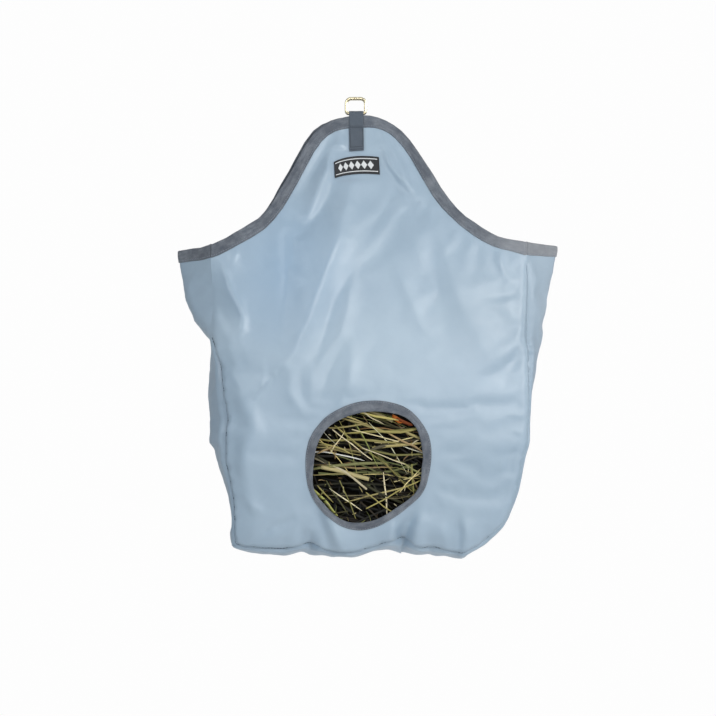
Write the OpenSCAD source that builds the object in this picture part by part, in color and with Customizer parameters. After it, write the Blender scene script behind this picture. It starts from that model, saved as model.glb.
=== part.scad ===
// Hay bag: a peaked cloth bag with a round feed hole, hung from a ring at the
// top of its front and back panels. Millimetres, +Z up, the front faces -Y and
// +X is to the right. The origin is the hang point, the inside top of the rings.

/* [Bag] */
// Thickness of the panel and gusset cloth as built
cloth_t = 2; // [1.2:0.2:2.4]
// Depth of the filled bag from front panel to back panel, where it is deepest
bag_depth = 158; // [140:2:170]
// How far the base gusset sags below its seams
base_sag = 9; // [4:1:14]

/* [Feed hole] */
// Clear diameter of the feed hole
hole_d = 160; // [130:2:164]
// Width of the tape round the hole
hole_tape_w = 12; // [8:1:14]
// Thickness of the folded tape round the hole
hole_tape_t = 5; // [4:0.5:6]

/* [Mouth] */
// Thickness of the folded tape round the mouth
mouth_tape_t = 3; // [2.4:0.2:4]
// Height of the line where the peaks fold outward
fold_z = -206; // [-208:1:-204]
// Gap left at the fold line and where two pieces of tape meet
fold_gap = 0.6; // [0.4:0.1:1.2]
// Gap between the lower edge of the mouth tape and the cloth below it
tape_gap = 0.6; // [0.5:0.1:1]

/* [Ring and tab] */
// Outer width of the ring
ring_w = 31; // [29:0.5:34]
// Outer height of the ring
ring_h = 24.6; // [22:0.2:24.6]
// Diameter of the ring wire
ring_wire = 4; // [3:0.5:4]
// Width of the webbing tab
tab_w = 20; // [14:1:20]
// Thickness of the webbing
tab_t = 1.4; // [1:0.2:1.6]
// Height of the tab's lower end
tab_end_z = -71; // [-76:1:-60]

/* [Label] */
// Width of the woven label
label_w = 63; // [40:1:70]
// Height of the woven label
label_h = 24; // [16:1:28]
// Thickness of the woven label
label_t = 1.2; // [0.8:0.2:1.6]
// Tilt of the label, right end up
label_tilt = 5.5; // [0:0.5:8]

/* [Hay] */
// Height of the top of the hay at the middle
hay_top = -306; // [-420:2:-304]
// Clearance between the hay and the cloth
hay_gap = 6; // [5:0.5:10]

/* [Hidden] */

nylon = [0.66, 0.74, 0.80];
tape = [0.38, 0.42, 0.47];
webbing = [0.34, 0.38, 0.42];
hay = [0.62, 0.56, 0.30];
brass = [0.80, 0.72, 0.48];

half = bag_depth / 2;
ct = cloth_t / 2;
hole_x = 18;
hole_z = -514;
split_l = -173;
split_r = 190;

// Left and right side seams of both panels, and the gusset's fold outside them: [height, x]
SEAM_L = [[-640, -171], [-559, -174], [-526, -181], [-508, -186], [-480, -184], [-451, -182],
    [-420, -187], [-371, -192], [-350, -199], [-326, -203], [-290, -200], [-206, -203]];
SEAM_R = [[-640, 207], [-600, 207], [-580, 216], [-546, 228], [-512, 235], [-479, 243],
    [-445, 244], [-407, 246], [-349, 244], [-333, 240], [-253, 242], [-206, 239]];
FOLD_L = [[-640, -172], [-571, -177], [-538, -184], [-504, -195], [-479, -206], [-448, -205],
    [-386, -206], [-353, -205], [-328, -211], [-294, -232], [-260, -241], [-227, -248], [-206, -250]];
FOLD_R = [[-640, 206], [-600, 206], [-546, 227], [-479, 243], [-420, 246], [-395, 249],
    [-361, 255], [-328, 260], [-294, 266], [-260, 272], [-227, 277], [-206, 281]];
// How sharply the gusset is creased along its middle: 1 is a V, 2 is a round arc
CREASE = [[-640, 2], [-400, 2], [-300, 1.3], [-206, 1]];
// Half depth at the middle and at the side seams, as shares of the deepest
MID = [[-640, 0.95], [-600, 1], [-460, 1], [-400, 0.97], [-320, 0.90], [-260, 0.80], [-206, 0.69],
    [-160, 0.53], [-120, 0.365], [-80, 0.215], [-40, 0.10], [-20, 0.063], [0, 0.063]];
SIDE = [[-640, 0.82], [-600, 0.89], [-460, 0.90], [-400, 0.86], [-320, 0.785], [-260, 0.70],
    [-206, 0.61], [-160, 0.47], [-120, 0.325], [-80, 0.19], [-40, 0.09], [-20, 0.058], [0, 0.058]];
// Bottom seam: [x, height]
FOOT = [[-172, -622], [-130, -631], [-60, -628], [-25, -634], [10, -633], [50, -624],
    [90, -630], [130, -634], [150, -632], [165, -626], [180, -617], [195, -607], [207, -598]];
// Mouth edge, and the lower edge of the tape on it: [x, height]
NECK = [[-252, -211], [-216, -206], [-193, -197], [-171, -185], [-148, -172], [-126, -158],
    [-115, -144], [-104, -126], [-92, -108], [-81, -87], [-70, -65], [-59, -48], [-48, -37],
    [-36, -30], [-25, -26], [-14, -23], [0, -22], [14, -22], [31, -24], [42, -28], [53, -35],
    [64, -43], [76, -57], [87, -74], [98, -92], [109, -107], [120, -125], [132, -141],
    [143, -153], [154, -164], [176, -178], [199, -190], [221, -195], [244, -199], [282, -204]];
TAPE = [[-252, -228], [-218, -224], [-206, -221], [-193, -217], [-181, -210], [-168, -202],
    [-143, -189], [-130, -182], [-118, -171], [-105, -156], [-92, -137], [-80, -113], [-67, -90],
    [-55, -67], [-42, -51], [-29, -43], [-17, -39], [22, -38], [35, -40], [48, -49], [60, -61],
    [73, -78], [85, -99], [98, -123], [111, -143], [123, -156], [136, -168], [148, -179],
    [161, -189], [174, -197], [190, -204], [211, -210], [240, -214], [282, -221]];
// The back panel hangs a little higher along both slopes of the neck
LIFT = [[-160, 0], [-125, 4], [-100, 8], [-60, 6], [-40, 2], [0, 0], [50, 1], [80, 6],
    [130, 5], [160, 0]];

function clamp(v, a, b) = max(a, min(b, v));
function lerp(a, b, t) = a + (b - a) * t;
function xl(z) = lookup(clamp(z, -640, -206), SEAM_L);
function xr(z) = lookup(clamp(z, -640, -206), SEAM_R);
function neck(x, b = 0) = lookup(x, NECK) + b * lookup(x, LIFT);
function tape_z(x, b = 0) = lookup(x, TAPE) + b * lookup(x, LIFT);

// Distance of a panel from the middle plane at (x, z)
function off(x, z) =
    let (u = clamp((x - xl(z)) / (xr(z) - xl(z)), 0, 1), m = half * lookup(z, MID), s = half * lookup(z, SIDE))
    m - (m - s) * pow(abs(2 * u - 1), 2.2);

// Gusset section at height z, s from -1 at the front seam to 1 at the back seam
function soft(s) = (sqrt(s * s + 0.006) - sqrt(0.006)) / (sqrt(1.006) - sqrt(0.006));
function side_y(s, z) = s * (half * lookup(z, SIDE) - 2.2);
function gx(side, s, z) =
    let (seam = side < 0 ? xl(z) : xr(z),
        fold = lookup(clamp(z, -640, -206), side < 0 ? FOLD_L : FOLD_R))
    seam + (fold - seam) * (1 - pow(soft(s), lookup(clamp(z, -640, -206), CREASE)));

// A closed sheet between two grids of points, the first being its outer face
module sheet(a, b) {
    m = len(a);
    n = len(a[0]);
    o = m * n;
    polyhedron(
        points = concat([for (r = a) each r], [for (r = b) each r]),
        faces = concat(
            [for (i = [0:m - 2], j = [0:n - 2]) each [
                [i * n + j, i * n + j + 1, (i + 1) * n + j + 1],
                [i * n + j, (i + 1) * n + j + 1, (i + 1) * n + j],
                [o + i * n + j, o + (i + 1) * n + j + 1, o + i * n + j + 1],
                [o + i * n + j, o + (i + 1) * n + j, o + (i + 1) * n + j + 1]]],
            [for (j = [0:n - 2]) each [
                [j + 1, j, o + j],
                [j + 1, o + j, o + j + 1],
                [(m - 1) * n + j, (m - 1) * n + j + 1, o + (m - 1) * n + j + 1],
                [(m - 1) * n + j, o + (m - 1) * n + j + 1, o + (m - 1) * n + j]]],
            [for (i = [0:m - 2]) each [
                [i * n, (i + 1) * n, o + (i + 1) * n],
                [i * n, o + (i + 1) * n, o + i * n],
                [(i + 2) * n - 1, (i + 1) * n - 1, o + (i + 1) * n - 1],
                [(i + 2) * n - 1, o + (i + 1) * n - 1, o + (i + 2) * n - 1]]]),
        convexity = 10);
}

// Both faces of a panel piece, from a grid of [x, z]
module panel_sheet(g, t = ct) {
    sheet([for (r = g) [for (p = r) [p[0], -off(p[0], p[1]) - t, p[1]]]],
        [for (r = g) [for (p = r) [p[0], -off(p[0], p[1]) + t, p[1]]]]);
}

// Lower part of a panel: columns run from the fold line, or the mouth tape at
// the wings, down to the bottom seam
function lower_top(x, b) = min(fold_z, tape_z(x, b) - tape_gap);
function lower_grid(b) =
    [for (v = [0:1 / 18:1.001]) [for (k = [0:36])
        let (u = k / 36, xt = lerp(xl(-206), xr(-206), u), xb = lerp(xl(-640), xr(-640), u),
            z = lerp(lower_top(xt, b), lookup(xb, FOOT), v))
        [lerp(xl(z), xr(z), u), z]]];

module lower_panel(b) {
    panel_sheet(lower_grid(b));
}

// Peak of a panel, above the fold line and inside the neck tape
module peak_panel(b) {
    panel_sheet([for (v = [0:1 / 7:1.001]) [for (k = [0:33])
        let (x = lerp(split_l + 1, split_r - 1, k / 33))
        [x, lerp(tape_z(x, b) - tape_gap, fold_z + fold_gap, v)]]]);
}

// Tape on the neck of a peak
module neck_tape(b) {
    panel_sheet([for (v = [0, 0.5, 1]) [for (k = [0:33])
        let (x = lerp(split_l + 1, split_r - 1, k / 33))
        [x, lerp(neck(x, b), tape_z(x, b), v)]]], mouth_tape_t / 2);
}

// Side gusset: side -1 is the left one, 1 the right one
module gusset(side) {
    n = 18;
    rows = [for (v = [0:1 / 20:1.001]) [for (k = [0:n])
        let (s = -side * (1 - 2 * k / n),
            x0 = gx(side, s, -215),
            z = lerp(tape_z(x0) - tape_gap - 0.3, side < 0 ? -621 : -597, v))
        [gx(side, s, z), side_y(s, z), z]]];
    sheet([for (r = rows) offset_row(r, ct)], [for (r = rows) offset_row(r, -ct)]);
}

// Moves a row of points sideways by d, to the outside of the bag
function offset_row(r, d) = [for (k = [0:len(r) - 1])
    let (p = r[max(0, k - 1)], q = r[min(len(r) - 1, k + 1)],
        h = max(0.001, norm([q[0] - p[0], q[1] - p[1]])))
    [r[k][0] + d * (q[1] - p[1]) / h, r[k][1] - d * (q[0] - p[0]) / h, r[k][2]]];

// Mouth tape round a wing: along the front panel, round the gusset fold and back
module wing_tape(side) {
    n = 20;
    near = side < 0 ? split_l + 1 - fold_gap : split_r - 1 + fold_gap;
    seam = side < 0 ? xl(-206) : xr(-206);
    // stations: [kind, value], kind -1 and 1 on the front and back panels, 0 on the gusset
    st = concat([[-1, near], [-1, lerp(near, seam, 0.33)], [-1, lerp(near, seam, 0.66)]],
        [for (k = [0:n]) [0, -1 + 2 * k / n]],
        [[1, lerp(near, seam, 0.66)], [1, lerp(near, seam, 0.33)], [1, near]]);
    path = side < 0 ? [for (k = [len(st) - 1:-1:0]) st[k]] : st;
    rows = [for (v = [0, 0.5, 1]) [for (q = path)
        let (x0 = q[0] == 0 ? gx(side, q[1], -211) : q[1],
            z = lerp(neck(x0), tape_z(x0), v))
        q[0] == 0
            ? [x0, q[1] * half * lookup(z, SIDE), z]
            : [x0, q[0] * off(x0, z), z]]];
    sheet([for (r = rows) offset_row(r, mouth_tape_t / 2)], [for (r = rows) offset_row(r, -mouth_tape_t / 2)]);
}

// Bound seam allowance inside a panel, down one side, along the bottom and up the other
module seam_tape() {
    zt = -232;
    t0 = ct + 0.3;
    pts = concat(
        [for (k = [0:14]) let (z = lerp(zt, -600, k / 14)) [xl(z) + 1.5, z, xl(z) + 11.5, z]],
        [for (k = [1:16]) let (x = lerp(xl(-640) + 1.5, xr(-640) - 1.5, k / 17))
            [x, lookup(x, FOOT) + 1.5, x, lookup(x, FOOT) + 11.5]],
        [for (k = [14:-1:0]) let (z = lerp(zt, -580, k / 14)) [xr(z) - 1.5, z, xr(z) - 11.5, z]]);
    function q(x, z, t) = [x, -off(x, z) + t, z];
    sheet([[for (p = pts) q(p[2], p[3], t0)], [for (p = pts) q(p[0], p[1], t0)]],
        [[for (p = pts) q(p[2], p[3], t0 + 1)], [for (p = pts) q(p[0], p[1], t0 + 1)]]);
}

// One ring and tab sit on each peak, at this distance from the middle plane
peak_y = half * 0.063;
bar_z = ring_wire - ring_h + ring_wire / 2;
rw = ring_wire / 2;

// Rounded wire ring, its straight lower bar lying in the tab
module ring() {
    cw = ring_w / 2 - rw;
    top_r = 7;
    low_r = 3;
    module corner(r, a) {
        rotate([90, 0, 0]) rotate([0, 0, a]) rotate_extrude(angle = 90, $fn = 48)
            translate([r, 0]) circle(r = rw, $fn = 24);
    }
    translate([0, -peak_y, 0]) {
        translate([cw - top_r, 0, rw - top_r]) corner(top_r, 0);
        translate([-cw + top_r, 0, rw - top_r]) corner(top_r, 90);
        translate([-cw + low_r, 0, bar_z + low_r]) corner(low_r, 180);
        translate([cw - low_r, 0, bar_z + low_r]) corner(low_r, 270);
        for (s = [-1, 1]) translate([s * cw, 0, bar_z + low_r])
            cylinder(r = rw, h = rw - top_r - bar_z - low_r, $fn = 24);
        translate([-cw + low_r, 0, bar_z]) rotate([0, 90, 0])
            cylinder(r = rw, h = 2 * (cw - low_r), $fn = 24);
        translate([-cw + top_r, 0, rw]) rotate([0, 90, 0])
            cylinder(r = rw, h = 2 * (cw - top_r), $fn = 24);
    }
}

// Webbing folded over the ring's bar, its two plies down both faces of the peak
module tab() {
    ri = rw + 0.15;
    ro = ri + tab_t;
    // ply faces follow the panel at a clearance from the mouth tape
    g = mouth_tape_t / 2 + 0.15;
    zs = [-27, -33, -40, -50, -60, tab_end_z];
    function py(z) = off(0, z);
    outer = concat(
        [for (z = [for (k = [5:-1:0]) zs[k]]) [-py(z) - g - tab_t, z]],
        [for (a = [180:-15:0]) [-peak_y + ro * cos(a), bar_z + ro * sin(a)]],
        [for (z = zs) [-py(z) + g + tab_t, z]]);
    inner = concat(
        [for (z = [for (k = [5:-1:0]) zs[k]]) [-py(z) + g, z]],
        [[-peak_y + ri, bar_z - 2]],
        [for (a = [0:15:180]) [-peak_y + ri * cos(a), bar_z + ri * sin(a)]],
        [[-peak_y - ri, bar_z - 2]],
        [for (z = zs) [-py(z) - g, z]]);
    translate([-tab_w / 2 + 0.8, 0, 0]) rotate([90, 0, 90]) linear_extrude(tab_w)
        polygon(concat(outer, inner));
}

// Label lying on the front peak
module label() {
    cx = 1.5;
    cz = -95;
    c = cos(label_tilt);
    s = sin(label_tilt);
    g = [for (v = [0.5, 0.17, -0.17, -0.5]) [for (u = [-0.5:0.1:0.501])
        [cx + u * label_w * c - v * label_h * s, cz + u * label_w * s + v * label_h * c]]];
    g0 = ct + 0.7;
    sheet([for (r = g) [for (p = r) [p[0], -off(p[0], p[1]) - g0 - label_t, p[1]]]],
        [for (r = g) [for (p = r) [p[0], -off(p[0], p[1]) - g0, p[1]]]]);
}

// Hay: one closed mound that fills the lower bag, as level loops from top to bottom
module hay_mound() {
    n = 48;
    zs = [hay_top, hay_top - 8, hay_top - 24, -350, -400, -450, -500, -540, -570, -590, -604, -612, -619];
    in = [60, 30, 10, 0, 0, 0, 0, 0, 0, 2, 8, 22, 48];
    function loop_x(z, c) = lerp(xl(z), xr(z), 0.5 + 0.5 * c);
    loops = [for (i = [0:len(zs) - 1]) [for (k = [0:n - 1])
        let (a = 360 * k / n, z = zs[i], c = cos(a), s = sin(a),
            e = pow(pow(abs(c), 8) + pow(abs(s), 8), -1 / 8),
            x0 = lerp(xl(z) + hay_gap + 4 + in[i], min(xr(z), 222) - hay_gap - 4 - in[i], 0.5 + 0.5 * clamp(c * e, -1, 1)),
            d = off(x0, z) - ct - hay_gap - in[i] * 0.6)
        [x0, d * clamp(s * e, -1, 1), z]]];
    m = len(zs);
    polyhedron(
        points = concat([for (l = loops) each l], [[20, 0, zs[0] + 1], [20, 0, zs[m - 1] - 1]]),
        faces = concat(
            [for (i = [0:m - 2], k = [0:n - 1]) let (k2 = (k + 1) % n) each [
                [i * n + k, i * n + k2, (i + 1) * n + k2],
                [i * n + k, (i + 1) * n + k2, (i + 1) * n + k]]],
            [for (k = [0:n - 1]) let (k2 = (k + 1) % n) each [
                [m * n, k2, k], [m * n + 1, (m - 1) * n + k, (m - 1) * n + k2]]]),
        convexity = 4);
}

module front_panel() {
    color(nylon) difference() {
        lower_panel(0);
        translate([hole_x, -half + 20, hole_z]) rotate([90, 0, 0])
            cylinder(r = hole_d / 2 + hole_tape_w + 0.2, h = 60, $fn = 96);
    }
}

module back_panel() { color(nylon) mirror([0, 1, 0]) lower_panel(1); }
module left_gusset() { color(nylon) gusset(-1); }
module right_gusset() { color(nylon) gusset(1); }

module base_gusset() {
    color(nylon) {
        g = [for (i = [0:10]) [for (k = [0:30])
            let (x = lerp(-168, 203, k / 30), s = -1 + 2 * i / 10, zf = lookup(x, FOOT),
                d = off(x, zf) - 1)
            [x, s * d, zf - 1.4 - ct - base_sag * (1 - s * s) * min(1, (k + 1) / 4, (31 - k) / 4)]]];
        sheet([for (r = g) [for (p = r) [p[0], p[1], p[2] - ct]]],
            [for (r = g) [for (p = r) [p[0], p[1], p[2] + ct]]]);
    }
}

module feed_hole_binding() {
    color(tape) translate([hole_x, -half - 1 + hole_tape_t / 2 + 0.6, hole_z]) rotate([90, 0, 0]) difference() {
        cylinder(r = hole_d / 2 + hole_tape_w, h = hole_tape_t, $fn = 96);
        translate([0, 0, -1]) cylinder(r = hole_d / 2, h = hole_tape_t + 2, $fn = 96);
    }
}

module left_mouth_binding() { color(tape) wing_tape(-1); }
module right_mouth_binding() { color(tape) wing_tape(1); }
module front_seam_binding() { color(tape) seam_tape(); }
module back_seam_binding() { color(tape) mirror([0, 1, 0]) seam_tape(); }
module hay_fill() { color(hay) hay_mound(); }
module front_peak_panel() { color(nylon) peak_panel(0); }
module front_neck_binding() { color(tape) neck_tape(0); }
module front_ring_tab() { color(webbing) tab(); }
module woven_label() { color("black") label(); }
module front_d_ring() { color(brass) ring(); }
module back_peak_panel() { color(nylon) mirror([0, 1, 0]) peak_panel(1); }
module back_neck_binding() { color(tape) mirror([0, 1, 0]) neck_tape(1); }
module back_ring_tab() { color(webbing) mirror([0, 1, 0]) tab(); }
module back_d_ring() { color(brass) mirror([0, 1, 0]) ring(); }

front_panel();
back_panel();
left_gusset();
right_gusset();
base_gusset();
feed_hole_binding();
left_mouth_binding();
right_mouth_binding();
front_seam_binding();
back_seam_binding();
hay_fill();
front_peak_panel();
front_neck_binding();
front_ring_tab();
woven_label();
front_d_ring();
back_peak_panel();
back_neck_binding();
back_ring_tab();
back_d_ring();
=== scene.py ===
"""Hay bag: a hung nylon bag with a round feed hole, bound in tape, full of hay.

Lengths below are millimetres in the CAD frame (+X right, -Y front, +Z up, origin at
the hang point) and are turned into metres where a mesh is made.
"""
import math
import random

import bpy
import numpy as np
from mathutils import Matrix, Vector, noise
from mathutils.bvhtree import BVHTree
from mathutils.geometry import delaunay_2d_cdt


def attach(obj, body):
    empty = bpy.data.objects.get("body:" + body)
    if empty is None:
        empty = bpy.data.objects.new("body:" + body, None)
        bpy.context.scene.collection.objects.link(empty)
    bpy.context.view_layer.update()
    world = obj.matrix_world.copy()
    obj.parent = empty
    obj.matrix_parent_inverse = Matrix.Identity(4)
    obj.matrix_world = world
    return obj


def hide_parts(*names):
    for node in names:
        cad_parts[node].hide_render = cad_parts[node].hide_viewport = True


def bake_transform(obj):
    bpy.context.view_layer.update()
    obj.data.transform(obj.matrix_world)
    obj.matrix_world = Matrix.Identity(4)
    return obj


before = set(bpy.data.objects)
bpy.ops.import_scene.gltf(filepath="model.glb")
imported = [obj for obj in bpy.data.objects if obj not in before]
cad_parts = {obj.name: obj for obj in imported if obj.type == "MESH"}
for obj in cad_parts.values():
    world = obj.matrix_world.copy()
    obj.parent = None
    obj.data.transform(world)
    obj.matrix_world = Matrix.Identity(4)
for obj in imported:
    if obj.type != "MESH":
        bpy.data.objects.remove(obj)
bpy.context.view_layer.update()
MM = 0.001
rng = random.Random(7)

# ------------------------------------------------------------------ camera and light
CAM_D = 4000.0
XC, ZC = 3.0, -361.0
VIEW_MM = 1002.4


def camera():
    cam = bpy.data.cameras.new("camera")
    cam.sensor_width = 36
    cam.lens = 36 * CAM_D / VIEW_MM
    cam.clip_end = 50
    ob = bpy.data.objects.new("camera", cam)
    bpy.context.collection.objects.link(ob)
    ob.location = (XC * MM, -CAM_D * MM, ZC * MM)
    ob.rotation_euler = (math.pi / 2, 0, 0)
    bpy.context.scene.camera = ob


def area(name, loc, target, size, power, colour=(1, 1, 1)):
    li = bpy.data.lights.new(name, "AREA")
    li.shape = "RECTANGLE"
    li.size, li.size_y = size
    li.energy = power
    li.color = colour
    ob = bpy.data.objects.new(name, li)
    bpy.context.collection.objects.link(ob)
    ob.location = loc
    ob.rotation_euler = (Vector(target) - Vector(loc)).to_track_quat("-Z", "Y").to_euler()
    return ob


def lights():
    area("key", (0.98, -1.85, 0.16), (0.0, 0, -0.28), (0.6, 0.7), 18.8, (1.0, 0.985, 0.955))
    area("front", (0.28, -2.7, -0.24), (0.04, 0, -0.34), (0.5, 0.5), 10.6)
    area("fill", (-1.5, -1.9, 0.60), (0.0, 0, -0.30), (1.0, 1.0), 15.0, (0.93, 0.975, 1.0))
    area("side", (2.5, -0.55, 0.10), (0.25, 0, -0.27), (0.8, 0.8), 12.8, (1.0, 0.99, 0.97))
    area("top", (0.0, -0.5, 1.5), (0.0, 0.1, -0.4), (1.6, 1.6), 4.5)
    area("rear", (0.7, 2.3, 0.5), (0.0, 0.0, -0.4), (1.0, 1.0), 36)
    w = bpy.data.worlds.new("world")
    bpy.context.scene.world = w
    w.use_nodes = True
    nt = w.node_tree
    # a white surround that lights the cloth only softly
    bg = nt.nodes["Background"]
    bg.inputs[0].default_value = (0.90, 0.95, 1.0, 1)
    lp = nt.nodes.new("ShaderNodeLightPath")
    gl = nt.nodes.new("ShaderNodeMath")
    gl.operation = "MULTIPLY_ADD"
    gl.inputs[1].default_value = 0.32
    gl.inputs[2].default_value = 0.20
    nt.links.new(lp.outputs["Is Glossy Ray"], gl.inputs[0])
    nt.links.new(gl.outputs[0], bg.inputs[1])
    white = nt.nodes.new("ShaderNodeBackground")
    white.inputs[0].default_value = (1, 1, 1, 1)
    white.inputs[1].default_value = 0.985
    mx = nt.nodes.new("ShaderNodeMixShader")
    nt.links.new(lp.outputs["Is Camera Ray"], mx.inputs[0])
    nt.links.new(bg.outputs[0], mx.inputs[1])
    nt.links.new(white.outputs[0], mx.inputs[2])
    nt.links.new(mx.outputs[0], nt.nodes["World Output"].inputs[0])
    bpy.context.scene.view_settings.view_transform = "Standard"
    bpy.context.scene.view_settings.look = "None"


# ------------------------------------------------------------------ material helpers
class Mat:
    """A node material with a few short ways to add nodes."""

    def __init__(self, name):
        self.m = bpy.data.materials.new(name)
        self.m.use_nodes = True
        self.nt = self.m.node_tree
        self.bsdf = self.nt.nodes["Principled BSDF"]

    def add(self, kind, **kw):
        n = self.nt.nodes.new(kind)
        for k, v in kw.items():
            setattr(n, k, v)
        return n

    def link(self, a, b):
        self.nt.links.new(a, b)

    def set(self, **kw):
        names = {
            "rough": "Roughness", "metal": "Metallic", "spec": "Specular IOR Level", "sheen": "Sheen Weight",
            "sheen_rough": "Sheen Roughness", "coat": "Coat Weight", "coat_rough": "Coat Roughness",
            "sub": "Subsurface Weight", "trans": "Transmission Weight", "aniso": "Anisotropic",
        }
        for k, v in kw.items():
            self.bsdf.inputs[names[k]].default_value = v

    def coord(self, scale=(1, 1, 1), rot=(0, 0, 0)):
        t = self.add("ShaderNodeTexCoord")
        mp = self.add("ShaderNodeMapping")
        mp.inputs["Scale"].default_value = scale
        mp.inputs["Rotation"].default_value = rot
        self.link(t.outputs["Object"], mp.inputs["Vector"])
        return mp.outputs[0]

    def uv(self, scale=(1, 1, 1), rot=(0, 0, 0)):
        t = self.add("ShaderNodeUVMap")
        mp = self.add("ShaderNodeMapping")
        mp.inputs["Scale"].default_value = scale
        mp.inputs["Rotation"].default_value = rot
        self.link(t.outputs[0], mp.inputs["Vector"])
        return mp.outputs[0]

    def noise(self, vec, scale, detail=3, rough=0.55, dist=0.0):
        n = self.add("ShaderNodeTexNoise")
        n.inputs["Scale"].default_value = scale
        n.inputs["Detail"].default_value = detail
        n.inputs["Roughness"].default_value = rough
        n.inputs["Distortion"].default_value = dist
        self.link(vec, n.inputs["Vector"])
        return n.outputs["Fac"]

    def wave(self, vec, scale, direction="X", dist=0.0, detail=0.0, dscale=1.0, profile="SIN"):
        n = self.add("ShaderNodeTexWave", wave_type="BANDS", bands_direction=direction, wave_profile=profile)
        n.inputs["Scale"].default_value = scale
        n.inputs["Distortion"].default_value = dist
        n.inputs["Detail"].default_value = detail
        n.inputs["Detail Scale"].default_value = dscale
        self.link(vec, n.inputs["Vector"])
        return n.outputs["Fac"]

    def ramp(self, fac, stops):
        n = self.add("ShaderNodeValToRGB")
        e = n.color_ramp.elements
        while len(e) > 1:
            e.remove(e[-1])
        e[0].position, e[0].color = stops[0][0], (*stops[0][1], 1)
        for p, c in stops[1:]:
            k = e.new(p)
            k.color = (*c, 1)
        self.link(fac, n.inputs[0])
        return n.outputs[0]

    def math(self, op, a, b=None, c=None):
        n = self.add("ShaderNodeMath", operation=op)
        for i, v in enumerate((a, b, c)):
            if v is None:
                continue
            if isinstance(v, (int, float)):
                n.inputs[i].default_value = v
            else:
                self.link(v, n.inputs[i])
        return n.outputs[0]

    def mix(self, fac, a, b, blend="MIX"):
        n = self.add("ShaderNodeMix", data_type="RGBA", blend_type=blend)
        for sock, v in ((n.inputs[0], fac), (n.inputs[6], a), (n.inputs[7], b)):
            if isinstance(v, (int, float)):
                sock.default_value = v
            elif isinstance(v, tuple):
                sock.default_value = (*v, 1) if len(v) == 3 else v
            else:
                self.link(v, sock)
        return n.outputs[2]

    def bump(self, height, strength, distance, under=None):
        n = self.add("ShaderNodeBump")
        n.inputs["Strength"].default_value = strength
        n.inputs["Distance"].default_value = distance
        self.link(height, n.inputs["Height"])
        if under is not None:
            self.link(under, n.inputs["Normal"])
        return n.outputs[0]

    def colour(self, c):
        if isinstance(c, tuple):
            self.bsdf.inputs["Base Color"].default_value = (*c, 1)
        else:
            self.link(c, self.bsdf.inputs["Base Color"])

    def roughness(self, r):
        self.link(r, self.bsdf.inputs["Roughness"])

    def normal(self, n):
        self.link(n, self.bsdf.inputs["Normal"])


def srgb(r, g, b):
    """0-255 sRGB to linear."""
    return tuple(((v / 255 + 0.055) / 1.055) ** 2.4 if v > 10 else v / 255 / 12.92 for v in (r, g, b))


def patch(m, at, size):
    """A soft round patch in the piece's own coordinates, 1 at its middle and 0 at its rim."""
    tc, mp = m.nt.nodes.new("ShaderNodeTexCoord"), m.nt.nodes.new("ShaderNodeMapping")
    gr = m.nt.nodes.new("ShaderNodeTexGradient")
    mp.vector_type = "TEXTURE"
    mp.inputs["Location"].default_value = at
    mp.inputs["Scale"].default_value = size
    gr.gradient_type = "SPHERICAL"
    m.nt.links.new(tc.outputs["Object"], mp.inputs["Vector"])
    m.nt.links.new(mp.outputs["Vector"], gr.inputs["Vector"])
    return gr.outputs["Fac"]


def nylon():
    """Coated nylon: fine plain weave, satin, a little mottling and dust."""
    m = Mat("nylon_blue")
    v = m.uv()
    big = m.noise(v, 9, 4, 0.6)
    base = m.ramp(big, [(0.25, srgb(143, 165, 184)), (0.55, srgb(151, 172, 190)), (0.8, srgb(158, 179, 195))])
    fine = m.noise(v, 160, 3, 0.6)
    base = m.mix(m.math("MULTIPLY", fine, 0.10), base, srgb(184, 200, 212))
    warp = m.wave(v, 560, "X")
    weft = m.wave(v, 560, "Y")
    weave = m.math("MULTIPLY", warp, weft)
    base = m.mix(m.math("MULTIPLY", weave, 0.05), base, srgb(120, 142, 162))
    # painted shade: the upper left of the front is made darker and bluer, and its upper right darker and greyer, where
    # the cloth lies in shade
    base = m.mix(m.math("MULTIPLY", patch(m, (-0.095, -0.05, -0.245), (0.10, 0.07, 0.13)), 0.9), base, srgb(134, 162, 188))
    base = m.mix(m.math("MULTIPLY", patch(m, (0.19, -0.05, -0.30), (0.11, 0.07, 0.10)), 0.8), base, srgb(136, 157, 174))
    # painted light and shade: the middle over the fill is made paler as a painted highlight, beside the hole darker as
    # painted shade, and the right-hand gusset and the left corner paler as painted light
    base = m.mix(m.math("MULTIPLY", patch(m, (0.035, -0.05, -0.355), (0.15, 0.07, 0.09)), 0.8), base, srgb(163, 183, 198))
    base = m.mix(m.math("MULTIPLY", patch(m, (0.155, -0.05, -0.50), (0.11, 0.07, 0.12)), 0.75), base, srgb(138, 160, 178))
    base = m.mix(m.math("MULTIPLY", patch(m, (0.275, 0.0, -0.29), (0.055, 0.12, 0.10)), 0.9), base, srgb(172, 190, 206))
    base = m.mix(m.math("MULTIPLY", patch(m, (-0.19, -0.04, -0.335), (0.055, 0.07, 0.05)), 0.8), base, srgb(170, 190, 206))
    m.colour(base)
    m.set(spec=0.85, sheen=0.05, sheen_rough=0.4, coat=0.12, coat_rough=0.36)
    m.roughness(m.ramp(m.noise(v, 35, 3), [(0.3, (0.40, 0.40, 0.40)), (0.7, (0.50, 0.50, 0.50))]))
    crink = m.noise(v, 60, 5, 0.55, 0.3)
    b1 = m.bump(crink, 0.10, 0.002)
    m.normal(m.bump(weave, 0.12, 0.0003, b1))
    return m.m


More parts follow.
